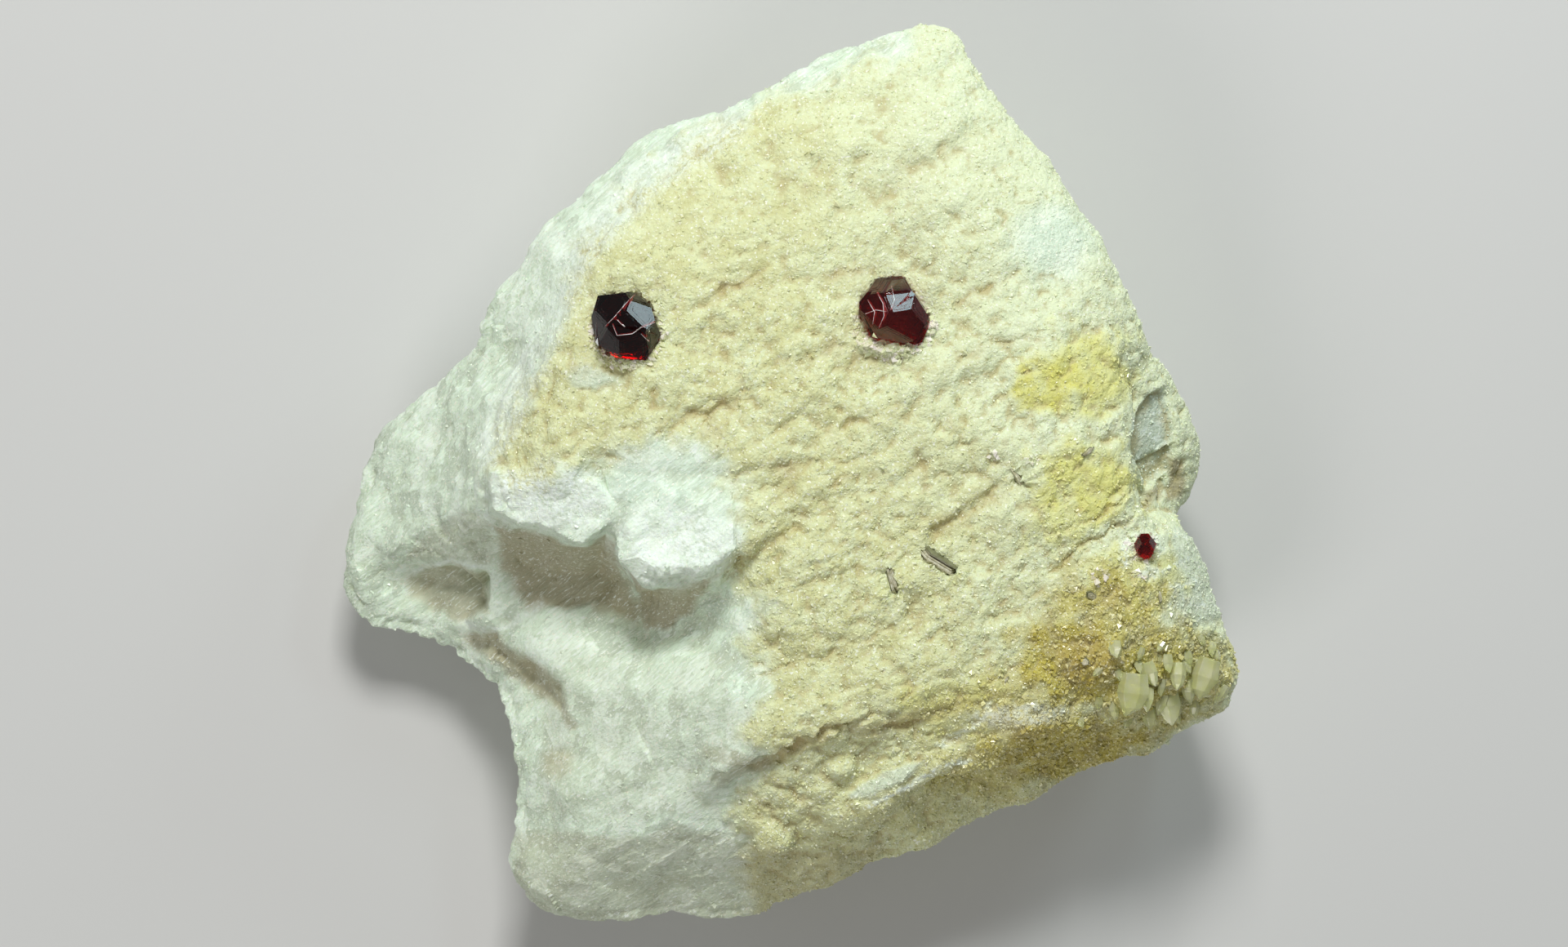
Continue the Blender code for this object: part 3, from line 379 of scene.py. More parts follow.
def hashed(cells, salt):
    """Repeatable values from 0 to 1 for rows of three whole numbers. Each use has a salt of its own."""
    bits = cells[..., 0] * 73856093 ^ cells[..., 1] * 19349663 ^ cells[..., 2] * 83492791
    bits = (bits ^ (salt * 2654435761)) & 0xFFFFFFFF
    bits = ((bits ^ (bits >> 15)) * 2246822519) & 0xFFFFFFFF
    bits = ((bits ^ (bits >> 13)) * 3266489917) & 0xFFFFFFFF
    return ((bits ^ (bits >> 16)) & 0xFFFFFF) / 0x1000000


def waves(points, size, salt):
    """Smooth noise of about -1 to 1, with waves of that size."""
    scaled = points / np.asarray(size)
    cell = np.floor(scaled).astype(np.int64)
    inside = scaled - cell
    ease = inside ** 3 * (inside * (inside * 6 - 15) + 10)
    level = np.zeros(len(points))
    for corner in np.ndindex(2, 2, 2):
        corner = np.array(corner)
        weight = np.prod(np.where(corner, ease, 1 - ease), axis=1)
        slope = sum(
            (2 * hashed(cell + corner, salt + axis) - 1) * (inside[:, axis] - corner[axis])
            for axis in range(3)
        )
        level += weight * slope
    return 1.5 * level


def nearest_cells(points, size, salt):
    """Offset of each point from its nearest cell's middle, and that cell."""
    scaled = points / size
    home = np.floor(scaled).astype(np.int64)
    nearest = np.full(len(points), np.inf)
    offset = np.zeros_like(scaled)
    chosen = np.zeros_like(home)
    for corner in np.ndindex(3, 3, 3):
        cell = home + (np.array(corner) - 1)
        jitter = np.stack([hashed(cell, salt + axis) for axis in range(3)], axis=1)
        away = scaled - cell - jitter
        distance = (away ** 2).sum(axis=1)
        closer = distance < nearest
        nearest[closer] = distance[closer]
        offset[closer] = away[closer]
        chosen[closer] = cell[closer]
    return offset, chosen


def broken_faces(points, sets, salt):
    """Shift of a broken surface seen from above: flat faces that meet in creases, set after set."""
    shift = np.zeros(len(points))
    for number, (size, height, tilt) in enumerate(sets):
        scaled = points[:, :2] / size
        home = np.floor(scaled).astype(np.int64)
        start = salt + 10 * number
        highest = np.full(len(points), -np.inf)
        cell = np.zeros((len(points), 3), np.int64)
        for step in np.ndindex(FACE_NEIGHBOURS, FACE_NEIGHBOURS):
            cell[:, :2] = home + np.array(step) - FACE_NEIGHBOURS // 2
            jitter = np.stack([hashed(cell, start), hashed(cell, start + 1)], axis=1)
            away = scaled - cell[:, :2] - jitter
            bearing = 2 * np.pi * hashed(cell, start + 2)
            lean = away[:, 0] * np.cos(bearing) + away[:, 1] * np.sin(bearing)
            plane = tilt * (lean - FACE_ROUNDNESS * (away ** 2).sum(axis=1))
            plane += FACE_STAGGER * hashed(cell, start + 3)
            highest = np.maximum(highest, plane)
        shift += height * (highest - np.median(highest)) * (1 if number % 2 == 0 else -1)
    return shift


def knobbly(points, sets, salt):
    """Shift of a broken flank: leaning rounded lumps in all three directions, set after set."""
    shift = np.zeros(len(points))
    for number, (size, height) in enumerate(sets):
        offset, cell = nearest_cells(points, size, salt + 10 * number)
        lean = np.stack([hashed(cell, salt + 40 + number + axis) for axis in range(3)], axis=1) - 0.5
        edge = 1.0 - (offset ** 2).sum(axis=1)
        shift += height * edge * (0.5 + (lean * offset).sum(axis=1))
    return shift


def cleavage_steps(points, salt):
    """Shift of straight ragged steps, which come and go across the surface."""
    shift = np.zeros(len(points))
    for number, (bearing, tilt, spacing, height) in enumerate(CLEAVAGE_STEPS):
        turn, lean = math.radians(bearing), math.radians(tilt)
        climb = np.array((math.cos(turn) * math.sin(lean), math.sin(turn) * math.sin(lean), math.cos(lean)))
        ragged = 0.35 * waves(points, 2.2, salt + 10 * number)
        phase = points @ climb / spacing + ragged
        strength = smoothstep(0.5 + 1.6 * waves(points, 6.5, salt + 5 + 10 * number))
        shift += height * strength * (phase - np.floor(phase) - 0.5)
    return shift


def run_distance(places, run):
    """Distance of each flat place from a run of points, and where along it, from 0 to 1."""
    nearest = np.full(len(places), np.inf)
    along = np.zeros(len(places))
    for number, (start, end) in enumerate(zip(run, run[1:])):
        start = np.array(start[:2], float)
        step = np.array(end[:2], float) - start
        share = np.clip(((places - start) @ step) / (step @ step), 0, 1)
        distance = np.linalg.norm(places - start - share[:, None] * step, axis=1)
        closer = distance < nearest
        nearest = np.where(closer, distance, nearest)
        along = np.where(closer, (number + share) / (len(run) - 1), along)
    return nearest, along


def inside_outline(places, outline):
    """Which flat places lie inside a closed outline."""
    inside = np.zeros(len(places), bool)
    x, y = places[:, 0], places[:, 1]
    for (ax, ay), (bx, by) in zip(outline, outline[1:] + outline[:1]):
        if ay == by:
            continue
        crossing = ax + (y - ay) * (bx - ax) / (by - ay)
        inside ^= ((ay > y) != (by > y)) & (x < crossing)
    return inside


def inside_distance(places, outline):
    """How far inside a closed outline each flat place lies, below 0 outside it."""
    away, _ = run_distance(places, outline + outline[:1])
    return np.where(inside_outline(places, outline), away, -away)


def outline_strength(points, outlines, fade, salt):
    """Strength of outlined patches at each point, with soft ragged edges."""
    strength = np.zeros(len(points))
    ragged = 0.7 * waves(points, 1.9, salt)
    for outline, strongest in outlines:
        inside = inside_distance(points[:, :2], outline) + ragged
        strength = np.maximum(strength, strongest * smoothstep(0.5 + inside / (2 * fade)))
    return strength


def patch_strength(points, patches, ragged, salt):
    """Strength of round patches at each point, with ragged edges."""
    strength = np.zeros(len(points))
    edge = ragged * waves(points, 2.4, salt) + 0.6 * ragged * waves(points, 0.9, salt + 3)
    for x, y, across, along, strongest in patches:
        away = np.hypot((points[:, 0] - x) / across, (points[:, 1] - y) / along)
        strength = np.maximum(strength, strongest * smoothstep(1.55 - away + edge))
    return strength


def wandered(points, reach, size, salts):
    """Flat places of the points, moved sideways by noise so that courses drawn there waver."""
    return points[:, :2] + reach * np.stack([waves(points, size, salt) for salt in salts], axis=1)


def whiteness(points):
    """1 on white cleavage stone, 0 on the granular face."""
    places = wandered(points, 1.7, 5.0, (101, 107))
    ragged = 1.3 * waves(points, 1.6, 111) + 0.8 * waves(points, 0.7, 115)
    return smoothstep(0.5 + (inside_distance(places, WHITE_STONE) + ragged) / (2 * WHITE_FADE))


def line_strength(points, lines, salt):
    """Strength of thin wavering lines at each point."""
    places = wandered(points, 0.2, 1.2, (salt, salt + 3))
    strength = np.zeros(len(points))
    for half_width, strongest, course in lines:
        away, _ = run_distance(places, course)
        strength = np.maximum(strength, strongest * smoothstep(1.5 - away / half_width))
    return strength


def groove_shift(points):
    """Depth of the grooves at each point, and the brown stain with painted shade that they carry."""
    places = wandered(points, 0.6, 1.6, (141, 147))
    depth = np.zeros(len(points))
    stain_and_shade = np.zeros(len(points))
    for deepest, half_width, brown, course in GROOVES:
        away, along = run_distance(places, course)
        ends = np.sin(np.pi * np.clip(along, 0.06, 0.94)) ** 0.5
        profile = np.clip(1.0 - (away / half_width) ** 2, 0.0, 1.0)
        depth = np.maximum(depth, deepest * ends * profile)
        stain_and_shade = np.maximum(stain_and_shade, brown * ends * smoothstep(1.4 - away / (1.4 * half_width)))
    uneven = 0.55 + 0.45 * smoothstep(0.5 + 1.4 * waves(points, 1.8, 151))
    return depth * uneven, stain_and_shade * uneven


def turned_to(points, bearing):
    """Points turned about Z so that their X runs along that bearing."""
    return points @ np.array(Matrix.Rotation(math.radians(bearing), 3, "Z"))


def drawn_out(points):
    """Points turned to the grain of the face and drawn together along it, so that noise there runs long."""
    return turned_to(points, GRAIN_BEARING) / DRAWN_OUT


def pits(points):
    """How deep each point lies in the small pits of the granular face, from 0 to 1, fewer at the top."""
    low = -waves(turned_to(points, GRAIN_BEARING), PIT_SIZE, 161) - 0.35 * waves(points, 0.9, 165)
    return smoothstep((low - 0.38) / 0.4) * smoothstep((30.0 - points[:, 1]) / 26.0)


# Meshes and pieces


def mesh_arrays(obj, modifiers_applied=True):
    """Points in millimetres and triangles of an object."""
    depsgraph = bpy.context.evaluated_depsgraph_get()
    mesh = bpy.data.meshes.new_from_object(obj.evaluated_get(depsgraph)) if modifiers_applied else obj.data
    mesh.calc_loop_triangles()
    points = np.empty(len(mesh.vertices) * 3, np.float32)
    mesh.vertices.foreach_get("co", points)
    triangles = np.empty(len(mesh.loop_triangles) * 3, np.int32)
    mesh.loop_triangles.foreach_get("vertices", triangles)
    return points.reshape(-1, 3).astype(float) / MM, triangles.reshape(-1, 3)


def vertex_normals(points, triangles):
    corners = points[triangles]
    faces = np.cross(corners[:, 1] - corners[:, 0], corners[:, 2] - corners[:, 0])
    normals = np.zeros_like(points)
    for corner in range(3):
        for axis in range(3):
            normals[:, axis] += np.bincount(triangles[:, corner], faces[:, axis], len(points))
    return normals / np.maximum(np.linalg.norm(normals, axis=1, keepdims=True), 1e-12)


def smoothed(points, triangles, rounds, share):
    """Points moved towards the middle of their neighbours, by a share for each."""
    pairs = np.concatenate([triangles[:, [0, 1]], triangles[:, [1, 2]], triangles[:, [2, 0]]])
    start, end = pairs[:, 0], pairs[:, 1]
    counts = np.maximum(np.bincount(start, minlength=len(points)), 1)[:, None]
    share = np.broadcast_to(np.asarray(share, float).reshape(-1, 1), (len(points), 1))
    for _ in range(rounds):
        sums = np.stack(
            [np.bincount(start, points[end, axis], len(points)) for axis in range(3)], axis=1
        )
        points = points + share * (sums / counts - points)
    return points


def linked(name, data):
    """A new object of that data in the scene."""
    made = bpy.data.objects.new(name, data)
    bpy.context.scene.collection.objects.link(made)
    return made


def placed(name, mesh, surface, node=None):
    """A mesh as a piece that rides on the block, in place of a CAD node where one is named."""
    mesh.materials.append(surface)
    made = linked(name, mesh)
    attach(made, "root")
    if node:
        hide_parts(node)
    return made


def array_piece(name, points, triangles, surface, marks, node=None, smooth=False):
    """A piece from arrays in millimetres, with its marks as point attributes."""
    mesh = bpy.data.meshes.new(name)
    mesh.vertices.add(len(points))
    mesh.vertices.foreach_set("co", (points * MM).astype(np.float32).ravel())
    mesh.loops.add(3 * len(triangles))
    mesh.loops.foreach_set("vertex_index", triangles.astype(np.int32).ravel())
    mesh.polygons.add(len(triangles))
    mesh.polygons.foreach_set("loop_start", np.arange(0, 3 * len(triangles), 3, dtype=np.int32))
    mesh.update(calc_edges=True)
    mesh.validate()
    mesh.polygons.foreach_set("use_smooth", np.full(len(mesh.polygons), smooth))
    for mark, values in marks.items():
        layer = mesh.attributes.new(mark, "FLOAT", "POINT")
        layer.data.foreach_set("value", values.astype(np.float32))
    return placed(name, mesh, surface, node)


def bmesh_piece(name, bm, surface, node=None):
    """A piece from a bmesh in millimetres, which is used up."""
    bmesh.ops.recalc_face_normals(bm, faces=bm.faces[:])
    bmesh.ops.triangulate(bm, faces=bm.faces[:])
    bmesh.ops.scale(bm, vec=(MM,) * 3, verts=bm.verts[:])
    mesh = bpy.data.meshes.new(name)
    bm.to_mesh(mesh)
    bm.free()
    return placed(name, mesh, surface, node)


def skinned(bm, rings):
    """Side faces from each ring of corners to the next."""
    for first, second in zip(rings, rings[1:]):
        for i in range(len(first)):
            j = (i + 1) % len(first)
            bm.faces.new([first[i], first[j], second[j], second[i]])


def surface_under(tree, x, y):
    """Place and normal where a plumb line from above meets a surface."""
    hit, normal, _, _ = tree.ray_cast(Vector((x, y, 80)), Vector((0, 0, -1)))
    return hit, normal


def towards(bearing):
    return Vector((math.cos(math.radians(bearing)), math.sin(math.radians(bearing)), 0))


# Materials

def fill_inputs(tree, node, inputs):
    """Inputs of a node: another node's socket is linked, and any other value is set."""
    for key, value in inputs.items():
        socket = node.inputs[key]
        if isinstance(value, bpy.types.NodeSocket):
            tree.links.new(value, socket)
        else:
            socket.default_value = value


def add_node(tree, kind, inputs=None, **settings):
    made = tree.nodes.new(kind)
    for name, value in settings.items():
        setattr(made, name, value)
    fill_inputs(tree, made, inputs or {})
    return made


def new_material(name):
    made = bpy.data.materials.new(name)
    made.use_nodes = True
    tree = made.node_tree
    return made, tree, tree.nodes["Principled BSDF"]


def noise_value(tree, place, size, detail=3.0, rough=0.55):
    """Noise from 0 to 1 with waves of that many millimetres."""
    links = {"Vector": place, "Scale": 1 / (size * MM), "Detail": detail, "Roughness": rough}
    return add_node(tree, "ShaderNodeTexNoise", links).outputs["Fac"]


def spread(tree, value, low, high, to_low=0.0, to_high=1.0):
    links = {0: value, 1: low, 2: high, 3: to_low, 4: to_high}
    return add_node(tree, "ShaderNodeMapRange", links, clamp=True).outputs[0]


def mixed(tree, share, first, second):
    links = {0: share, 6: first, 7: second}
    return add_node(tree, "ShaderNodeMix", links, data_type="RGBA").outputs[2]


def product(tree, first, second):
    return add_node(tree, "ShaderNodeMath", {0: first, 1: second}, operation="MULTIPLY").outputs[0]


def total(tree, first, second):
    return add_node(tree, "ShaderNodeMath", {0: first, 1: second}, operation="ADD").outputs[0]


def attribute(tree, name):
    return add_node(tree, "ShaderNodeAttribute", attribute_name=name).outputs["Fac"]


def own_place(tree):
    """Places in the object's own frame."""
    return add_node(tree, "ShaderNodeTexCoord").outputs["Object"]


def bump(tree, height, distance, strength):
    links = {"Height": height, "Distance": distance * MM, "Strength": strength}
    return add_node(tree, "ShaderNodeBump", links).outputs[0]


# Colours of the rock
CREAM_LIGHT = (0.75, 0.79, 0.47, 1)
CREAM_DARK = (0.66, 0.67, 0.34, 1)
CREAM_PALE = (0.78, 0.87, 0.62, 1)
WHITE_LIGHT = (0.78, 0.93, 0.75, 1)
WHITE_DARK = (0.63, 0.75, 0.57, 1)
PEARL = (0.64, 0.78, 0.65, 1)
WHITE_GREY = (0.52, 0.60, 0.47, 1)
WHITE_BRIGHT = (0.85, 0.97, 0.82, 1)
# Painted glints, white and honey-coloured
GLINT = (0.92, 0.95, 0.80, 1)
HONEY_GLINT = (0.95, 0.90, 0.52, 1)
CHIP = (0.95, 0.88, 0.84, 1)
# Painted silky sheen: its bright and its dull streaks
SILK_SHEEN = (0.92, 0.99, 0.92, 1)
SILK_SHEEN_DARK = (0.44, 0.50, 0.38, 1)
CREASE = (0.58, 0.55, 0.25, 1)
# White frost, also painted light on the terrace and the knob's top
FROST_AND_PAINTED_LIGHT = (0.88, 0.97, 0.88, 1)
YELLOW = (0.70, 0.67, 0.12, 1)
OCHRE = (0.56, 0.49, 0.10, 1)
OCHRE_DARK = (0.40, 0.32, 0.05, 1)
# Painted shade, brown in tone
SHADED = (0.38, 0.31, 0.165, 1)
PLATE = (0.60, 0.69, 0.55, 1)
BROWN = (0.44, 0.31, 0.12, 1)
# Painted shade and brown stain in the creases
RECESS_SHADE_AND_STAIN = (0.52, 0.46, 0.22, 1)

# Colours of the crystals, and the density of the calcite's absorption
GARNET_DEEP = (0.52, 0.02, 0.02, 1)
GARNET_LIT = (0.66, 0.045, 0.035, 1)
GARNET_INSIDE = (0.86, 0.04, 0.05, 1)
CRACK_DARK = (0.74, 0.64, 0.62, 1)
CRACK_LIGHT = (0.97, 0.95, 0.94, 1)
CALCITE_CLOUDY = (0.88, 0.92, 0.46, 1)
CALCITE_CLEAR = (0.97, 0.98, 0.70, 1)
CALCITE_INSIDE = (0.95, 0.93, 0.5, 1)
CALCITE_DENSITY = 160
MICA_DARK = (0.50, 0.47, 0.30, 1)
MICA_LIGHT = (0.72, 0.70, 0.55, 1)
MICA_EDGE = (0.12, 0.13, 0.05, 1)


def stretched(tree, place, bearing, along=0.16):
    """Places turned and drawn out so that noise there runs in streaks along that bearing."""
    links = {"Vector": place, "Rotation": (0, 0, math.radians(-bearing))}
    turned = add_node(tree, "ShaderNodeMapping", links).outputs[0]
    return add_node(tree, "ShaderNodeMapping", {"Vector": turned, "Scale": (along, 1.0, 1.0)}).outputs[0]


def cleavage_cells(tree, place, size):
    """A steady value from 0 to 1 for each drawn-out cell, with ragged borders between the cells."""
    wander = add_node(tree, "ShaderNodeTexNoise", {"Vector": place, "Scale": 1 / (1.4 * MM), "Detail": 3.0})
    links = {0: wander.outputs["Color"], "Scale": CELL_WANDER * MM}
    offset = add_node(tree, "ShaderNodeVectorMath", links, operation="SCALE").outputs[0]
    moved = add_node(tree, "ShaderNodeVectorMath", {0: place, 1: offset}, operation="ADD").outputs[0]
    links = {"Vector": stretched(tree, moved, CLEAVAGE_BEARING, 0.5), "Scale": 1 / (size * MM)}
    return add_node(tree, "ShaderNodeTexVoronoi", links, feature="F1").outputs["Color"]


def stone_colour(tree, place, celled=True):
    """Colour of the rock, mixed from its marks and noise, painted shade, light and glints among them,
    with its cleavage cells and fine noise.
    """
    broad = noise_value(tree, place, 9.0)
    middle = noise_value(tree, place, 2.2)
    fine = noise_value(tree, place, 0.5)
    cream = mixed(tree, spread(tree, middle, 0.35, 0.65), CREAM_DARK, CREAM_LIGHT)
    cream = mixed(tree, attribute(tree, "paleness"), cream, CREAM_PALE)
    speckle = product(tree, spread(tree, fine, 0.5, 0.75), spread(tree, broad, 0.3, 0.7))
    cream = mixed(tree, speckle, cream, CREAM_PALE)
    cream = mixed(tree, spread(tree, fine, 0.3, 0.44, 0.6, 0.0), cream, CREASE)
    cells = middle
    white = mixed(tree, spread(tree, middle, 0.3, 0.62), WHITE_DARK, WHITE_LIGHT)
    if celled:
        large, small = cleavage_cells(tree, place, 2.6), cleavage_cells(tree, place, 0.9)
        cells = total(tree, product(tree, large, 0.6), product(tree, small, 0.4))
        white = mixed(tree, spread(tree, cells, 0.38, 0.34, 0.0, 0.6), white, WHITE_GREY)
        white = mixed(tree, spread(tree, cells, 0.58, 0.64, 0.0, 0.8), white, WHITE_BRIGHT)
    stone = mixed(tree, attribute(tree, "white"), cream, white)
    pearl = mixed(tree, spread(tree, cells, 0.45, 0.7), PEARL, WHITE_BRIGHT)
    stone = mixed(tree, product(tree, attribute(tree, "pearly"), 0.8), stone, pearl)
    lines = noise_value(tree, stretched(tree, place, PLATE_BEARING), 0.5, 2.0)
    plate = mixed(tree, spread(tree, lines, 0.62, 0.7), PLATE, FROST_AND_PAINTED_LIGHT)
    stone = mixed(tree, attribute(tree, "plate"), stone, plate)
    ochre = mixed(tree, spread(tree, middle, 0.36, 0.58), OCHRE_DARK, OCHRE)
    patchy = spread(tree, middle, 0.2, 0.5, 0.55, 1.0)
    # Painted glints: small random spots mixed towards a glint white, honey-coloured on the ochre
    glints = noise_value(tree, place, 0.24, 0.5)
    glinting = spread(tree, glints, 0.65, 0.72, 0.0, 0.9)
    stone = mixed(tree, glinting, stone, GLINT)
    ochre = mixed(tree, glinting, ochre, HONEY_GLINT)
    stone = mixed(tree, product(tree, attribute(tree, "yellow"), patchy), stone, YELLOW)
    stone = mixed(tree, product(tree, attribute(tree, "ochre"), patchy), stone, ochre)
    # Painted shade in the shaded outlines, mixed towards a brown shade colour
    stone = mixed(tree, product(tree, attribute(tree, "shade"), 0.85), stone, SHADED)
    # Frost and painted light, on the terrace and the knob's top, mixed towards a pale white
    frosted_and_lit = product(tree, attribute(tree, "frost_and_painted_light"), spread(tree, fine, 0.36, 0.56, 0.2, 1.0))
    stone = mixed(tree, frosted_and_lit, stone, FROST_AND_PAINTED_LIGHT)
    # Painted shade and brown stain in the creases, from the hollow mark
    stone = mixed(tree, attribute(tree, "hollow"), stone, RECESS_SHADE_AND_STAIN)
    return mixed(tree, attribute(tree, "brown"), stone, BROWN), cells, fine


def rock_material():
    """Granular rock with silky white parts, their sheen painted in streaks, which lets a little light into
    it.
    """
    made, tree, shader = new_material("granular_rock")
    place = own_place(tree)
    colour, cells, fine = stone_colour(tree, place)
    silk = noise_value(tree, stretched(tree, place, STRIATION_BEARING), 0.22, 3.0, 0.7)
    clear_of_frost_and_light = spread(tree, attribute(tree, "frost_and_painted_light"), 0.0, 1.0, 1.0, 0.3)
    white = product(tree, attribute(tree, "white"), clear_of_frost_and_light)
    # Painted silky sheen on the white stone: dull streaks darker, bright streaks towards a sheen colour
    sheen_dark = product(tree, spread(tree, silk, 0.3, 0.5, 0.5, 0.0), white)
    sheen = product(tree, spread(tree, silk, 0.55, 0.68), product(tree, white, 0.9))
    roughness = total(tree, product(tree, attribute(tree, "pearly"), -0.22), 0.62)
    roughness = total(tree, roughness, product(tree, sheen, -0.5))
    grit = add_node(
        tree, "ShaderNodeTexVoronoi", {"Vector": place, "Scale": 1 / (0.5 * MM)}, feature="F1"
    ).outputs["Distance"]
    height = total(tree, product(tree, grit, -0.5), noise_value(tree, place, 0.3))
    height = product(tree, height, spread(tree, white, 0.0, 1.0, 1.0, 0.3))
    height = total(tree, height, product(tree, silk, product(tree, white, 0.6)))
    height = total(tree, height, product(tree, cells, product(tree, white, 1.6)))
    fill_inputs(tree, shader, {
        "Base Color": mixed(tree, sheen, mixed(tree, sheen_dark, colour, SILK_SHEEN_DARK), SILK_SHEEN),
        "Roughness": total(tree, roughness, spread(tree, fine, 0.3, 0.7, -0.12, 0.1)),
        "Subsurface Weight": 0.2,
        "Subsurface Radius": (1.0, 0.92, 0.7),
        "Subsurface Scale": 0.9 * MM,
        "IOR": 1.5,
        "Normal": bump(tree, height, 0.2, 0.9),
    })
    return made


def grain_material(name, roughness, lightest, glint):
    """Small crystals in the rock's own colours, the palest ones mixed up to that share with the glint
    colour:
    for sugary and glassy grains a painted glint, for socket chips their own white.
    """
    made, tree, shader = new_material(name)
    place = own_place(tree)
    colour, _, fine = stone_colour(tree, place, False)
    lighter = spread(tree, attribute(tree, "tint"), 0.4, 1.0, 0.0, lightest)
    fill_inputs(tree, shader, {
        "Base Color": mixed(tree, lighter, colour, glint),
        "Roughness": spread(tree, fine, 0.3, 0.7, roughness, roughness + 0.2),
        "IOR": 1.6,
        "Normal": bump(tree, noise_value(tree, place, 0.12), 0.03, 0.5),
    })
    return made


def absorbing(tree, colour, density):
    volume = add_node(tree, "ShaderNodeVolumeAbsorption", {"Color": colour, "Density": density})
    tree.links.new(volume.outputs[0], tree.nodes["Material Output"].inputs["Volume"])


def garnet_material(name, turn, density, lining):
    """Deep red see-through crystal with fine growth lines that all run one way."""
    made, tree, shader = new_material(name)
    place = own_place(tree)
    links = {"Vector": place, "Rotation": (0, 0, math.radians(turn))}
    turned = add_node(tree, "ShaderNodeMapping", links).outputs[0]
    lined = add_node(tree, "ShaderNodeMapping", {"Vector": turned, "Scale": (5.0, 0.4, 0.4)}).outputs[0]
    spots = noise_value(tree, place, 0.5, 4.0)
    height = total(tree, noise_value(tree, lined, 1.6, 2.0), product(tree, spots, 0.25))
    fill_inputs(tree, shader, {
        "Base Color": mixed(tree, spread(tree, spots, 0.45, 0.7), GARNET_DEEP, GARNET_LIT),
        "Roughness": spread(tree, spots, 0.5, 0.75, 0.01, 0.1),
        "Transmission Weight": 1.0,
        "IOR": 1.5,
        "Normal": bump(tree, height, 0.05, lining),
    })
    absorbing(tree, GARNET_INSIDE, density)
    return made


def crack_material():
    made, tree, shader = new_material("garnet_crack")
    tone = spread(tree, noise_value(tree, own_place(tree), 0.6), 0.35, 0.65)
    fill_inputs(tree, shader, {
        "Base Color": mixed(tree, tone, CRACK_DARK, CRACK_LIGHT),
        "Roughness": spread(tree, tone, 0.0, 1.0, 0.3, 0.12),
    })
    return made


def calcite_material():
    made, tree, shader = new_material("clear_calcite")
    place = own_place(tree)
    cloud = noise_value(tree, place, 1.2)
    fill_inputs(tree, shader, {
        "Base Color": mixed(tree, spread(tree, cloud, 0.35, 0.7), CALCITE_CLOUDY, CALCITE_CLEAR),
        "Roughness": spread(tree, cloud, 0.3, 0.7, 0.03, 0.15),
        "Transmission Weight": 0.6,
        "IOR": 1.55,
        "Normal": bump(tree, noise_value(tree, place, 0.3), 0.05, 0.3),
    })
    absorbing(tree, CALCITE_INSIDE, CALCITE_DENSITY)
    return made


def mica_material():
    """Olive and beige sheets with a faint metallic sheen, the outermost one darker."""
    made, tree, shader = new_material("silky_mica")
    lines = noise_value(tree, own_place(tree), 0.35, 4.0)
    body = mixed(tree, spread(tree, lines, 0.4, 0.62), MICA_DARK, MICA_LIGHT)
    fill_inputs(tree, shader, {
        "Base Color": mixed(tree, product(tree, attribute(tree, "edge"), 0.8), body, MICA_EDGE),
        "Roughness": spread(tree, lines, 0.3, 0.7, 0.25, 0.45),
        "Metallic": 0.25,
        "Specular IOR Level": 0.6,
        "Normal": bump(tree, lines, 0.04, 0.5),
    })
    return made


# The rock

def fine_rock():
    """Points and triangles of the block, on an even fine mesh."""
    copy = linked("block_copy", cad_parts["matrix"].data.copy())
    even = copy.modifiers.new("even", "REMESH")
    even.mode = "VOXEL"
    even.voxel_size = ROCK_EDGE * MM
    points, triangles = mesh_arrays(copy)
    bpy.data.objects.remove(copy)
    return points, triangles


def crystal_trees():
    """Search trees of the surfaces of the garnets and mica blades, in millimetres."""
    trees = []
    for name in sorted(set(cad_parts) - {"matrix"}):
        points, triangles = mesh_arrays(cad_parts[name], False)
        trees.append(BVHTree.FromPolygons(points.tolist(), triangles.tolist()))
    return trees


def distance_from_crystals(points, trees, reach):
    """Signed distance of each point from the nearest crystal, and the way out of it."""
    signed = np.full(len(points), np.inf)
    outward = np.zeros_like(points)
    for tree in trees:
        for index in np.flatnonzero(near_tree(points, tree)):
            place, normal, _, distance = tree.find_nearest(Vector(points[index]), reach)
            if place is None:
                continue
            away = Vector(points[index]) - place
            side = 1.0 if away.dot(normal) >= 0 else -1.0
            if side * distance < signed[index]:
                signed[index] = side * distance
                outward[index] = normal
    return signed, outward


def near_tree(points, tree):
    """Points close enough to a crystal to be worth measuring."""
    spot = np.array(tree.find_nearest(Vector(points.mean(axis=0)))[0])
    return np.linalg.norm(points - spot, axis=1) < CRYSTAL_REACH


def plate_shift(points):
    """How far the smooth plates stand out at each point, and their strength."""
    shift = np.zeros(len(points))
    strength = np.zeros(len(points))
    ragged = 0.2 * waves(points, 1.5, 261)
    for outline, proud, strongest in PLATES:
        inside = smoothstep(0.5 + (inside_distance(points[:, :2], outline) + ragged) / 0.5)
        shift += proud * inside
        strength = np.maximum(strength, strongest * inside)
    return shift, strength


def flat_shift(points):
    """Rise that lays the upper surface onto the flat areas."""
    rise = np.zeros(len(points))
    above = smoothstep((points[:, 2] - 5.0) / 2.0)
    for way, outline, level, slope_x, slope_y, border in FLAT_AREAS:
        hold = above * smoothstep(0.5 + inside_distance(points[:, :2], outline) / border)
        target = level + slope_x * points[:, 0] + slope_y * points[:, 1]
        wanted = target - points[:, 2]
        rise += hold * (np.maximum(wanted, 0.0) if way == "up" else np.minimum(wanted, 0.0))
    return rise


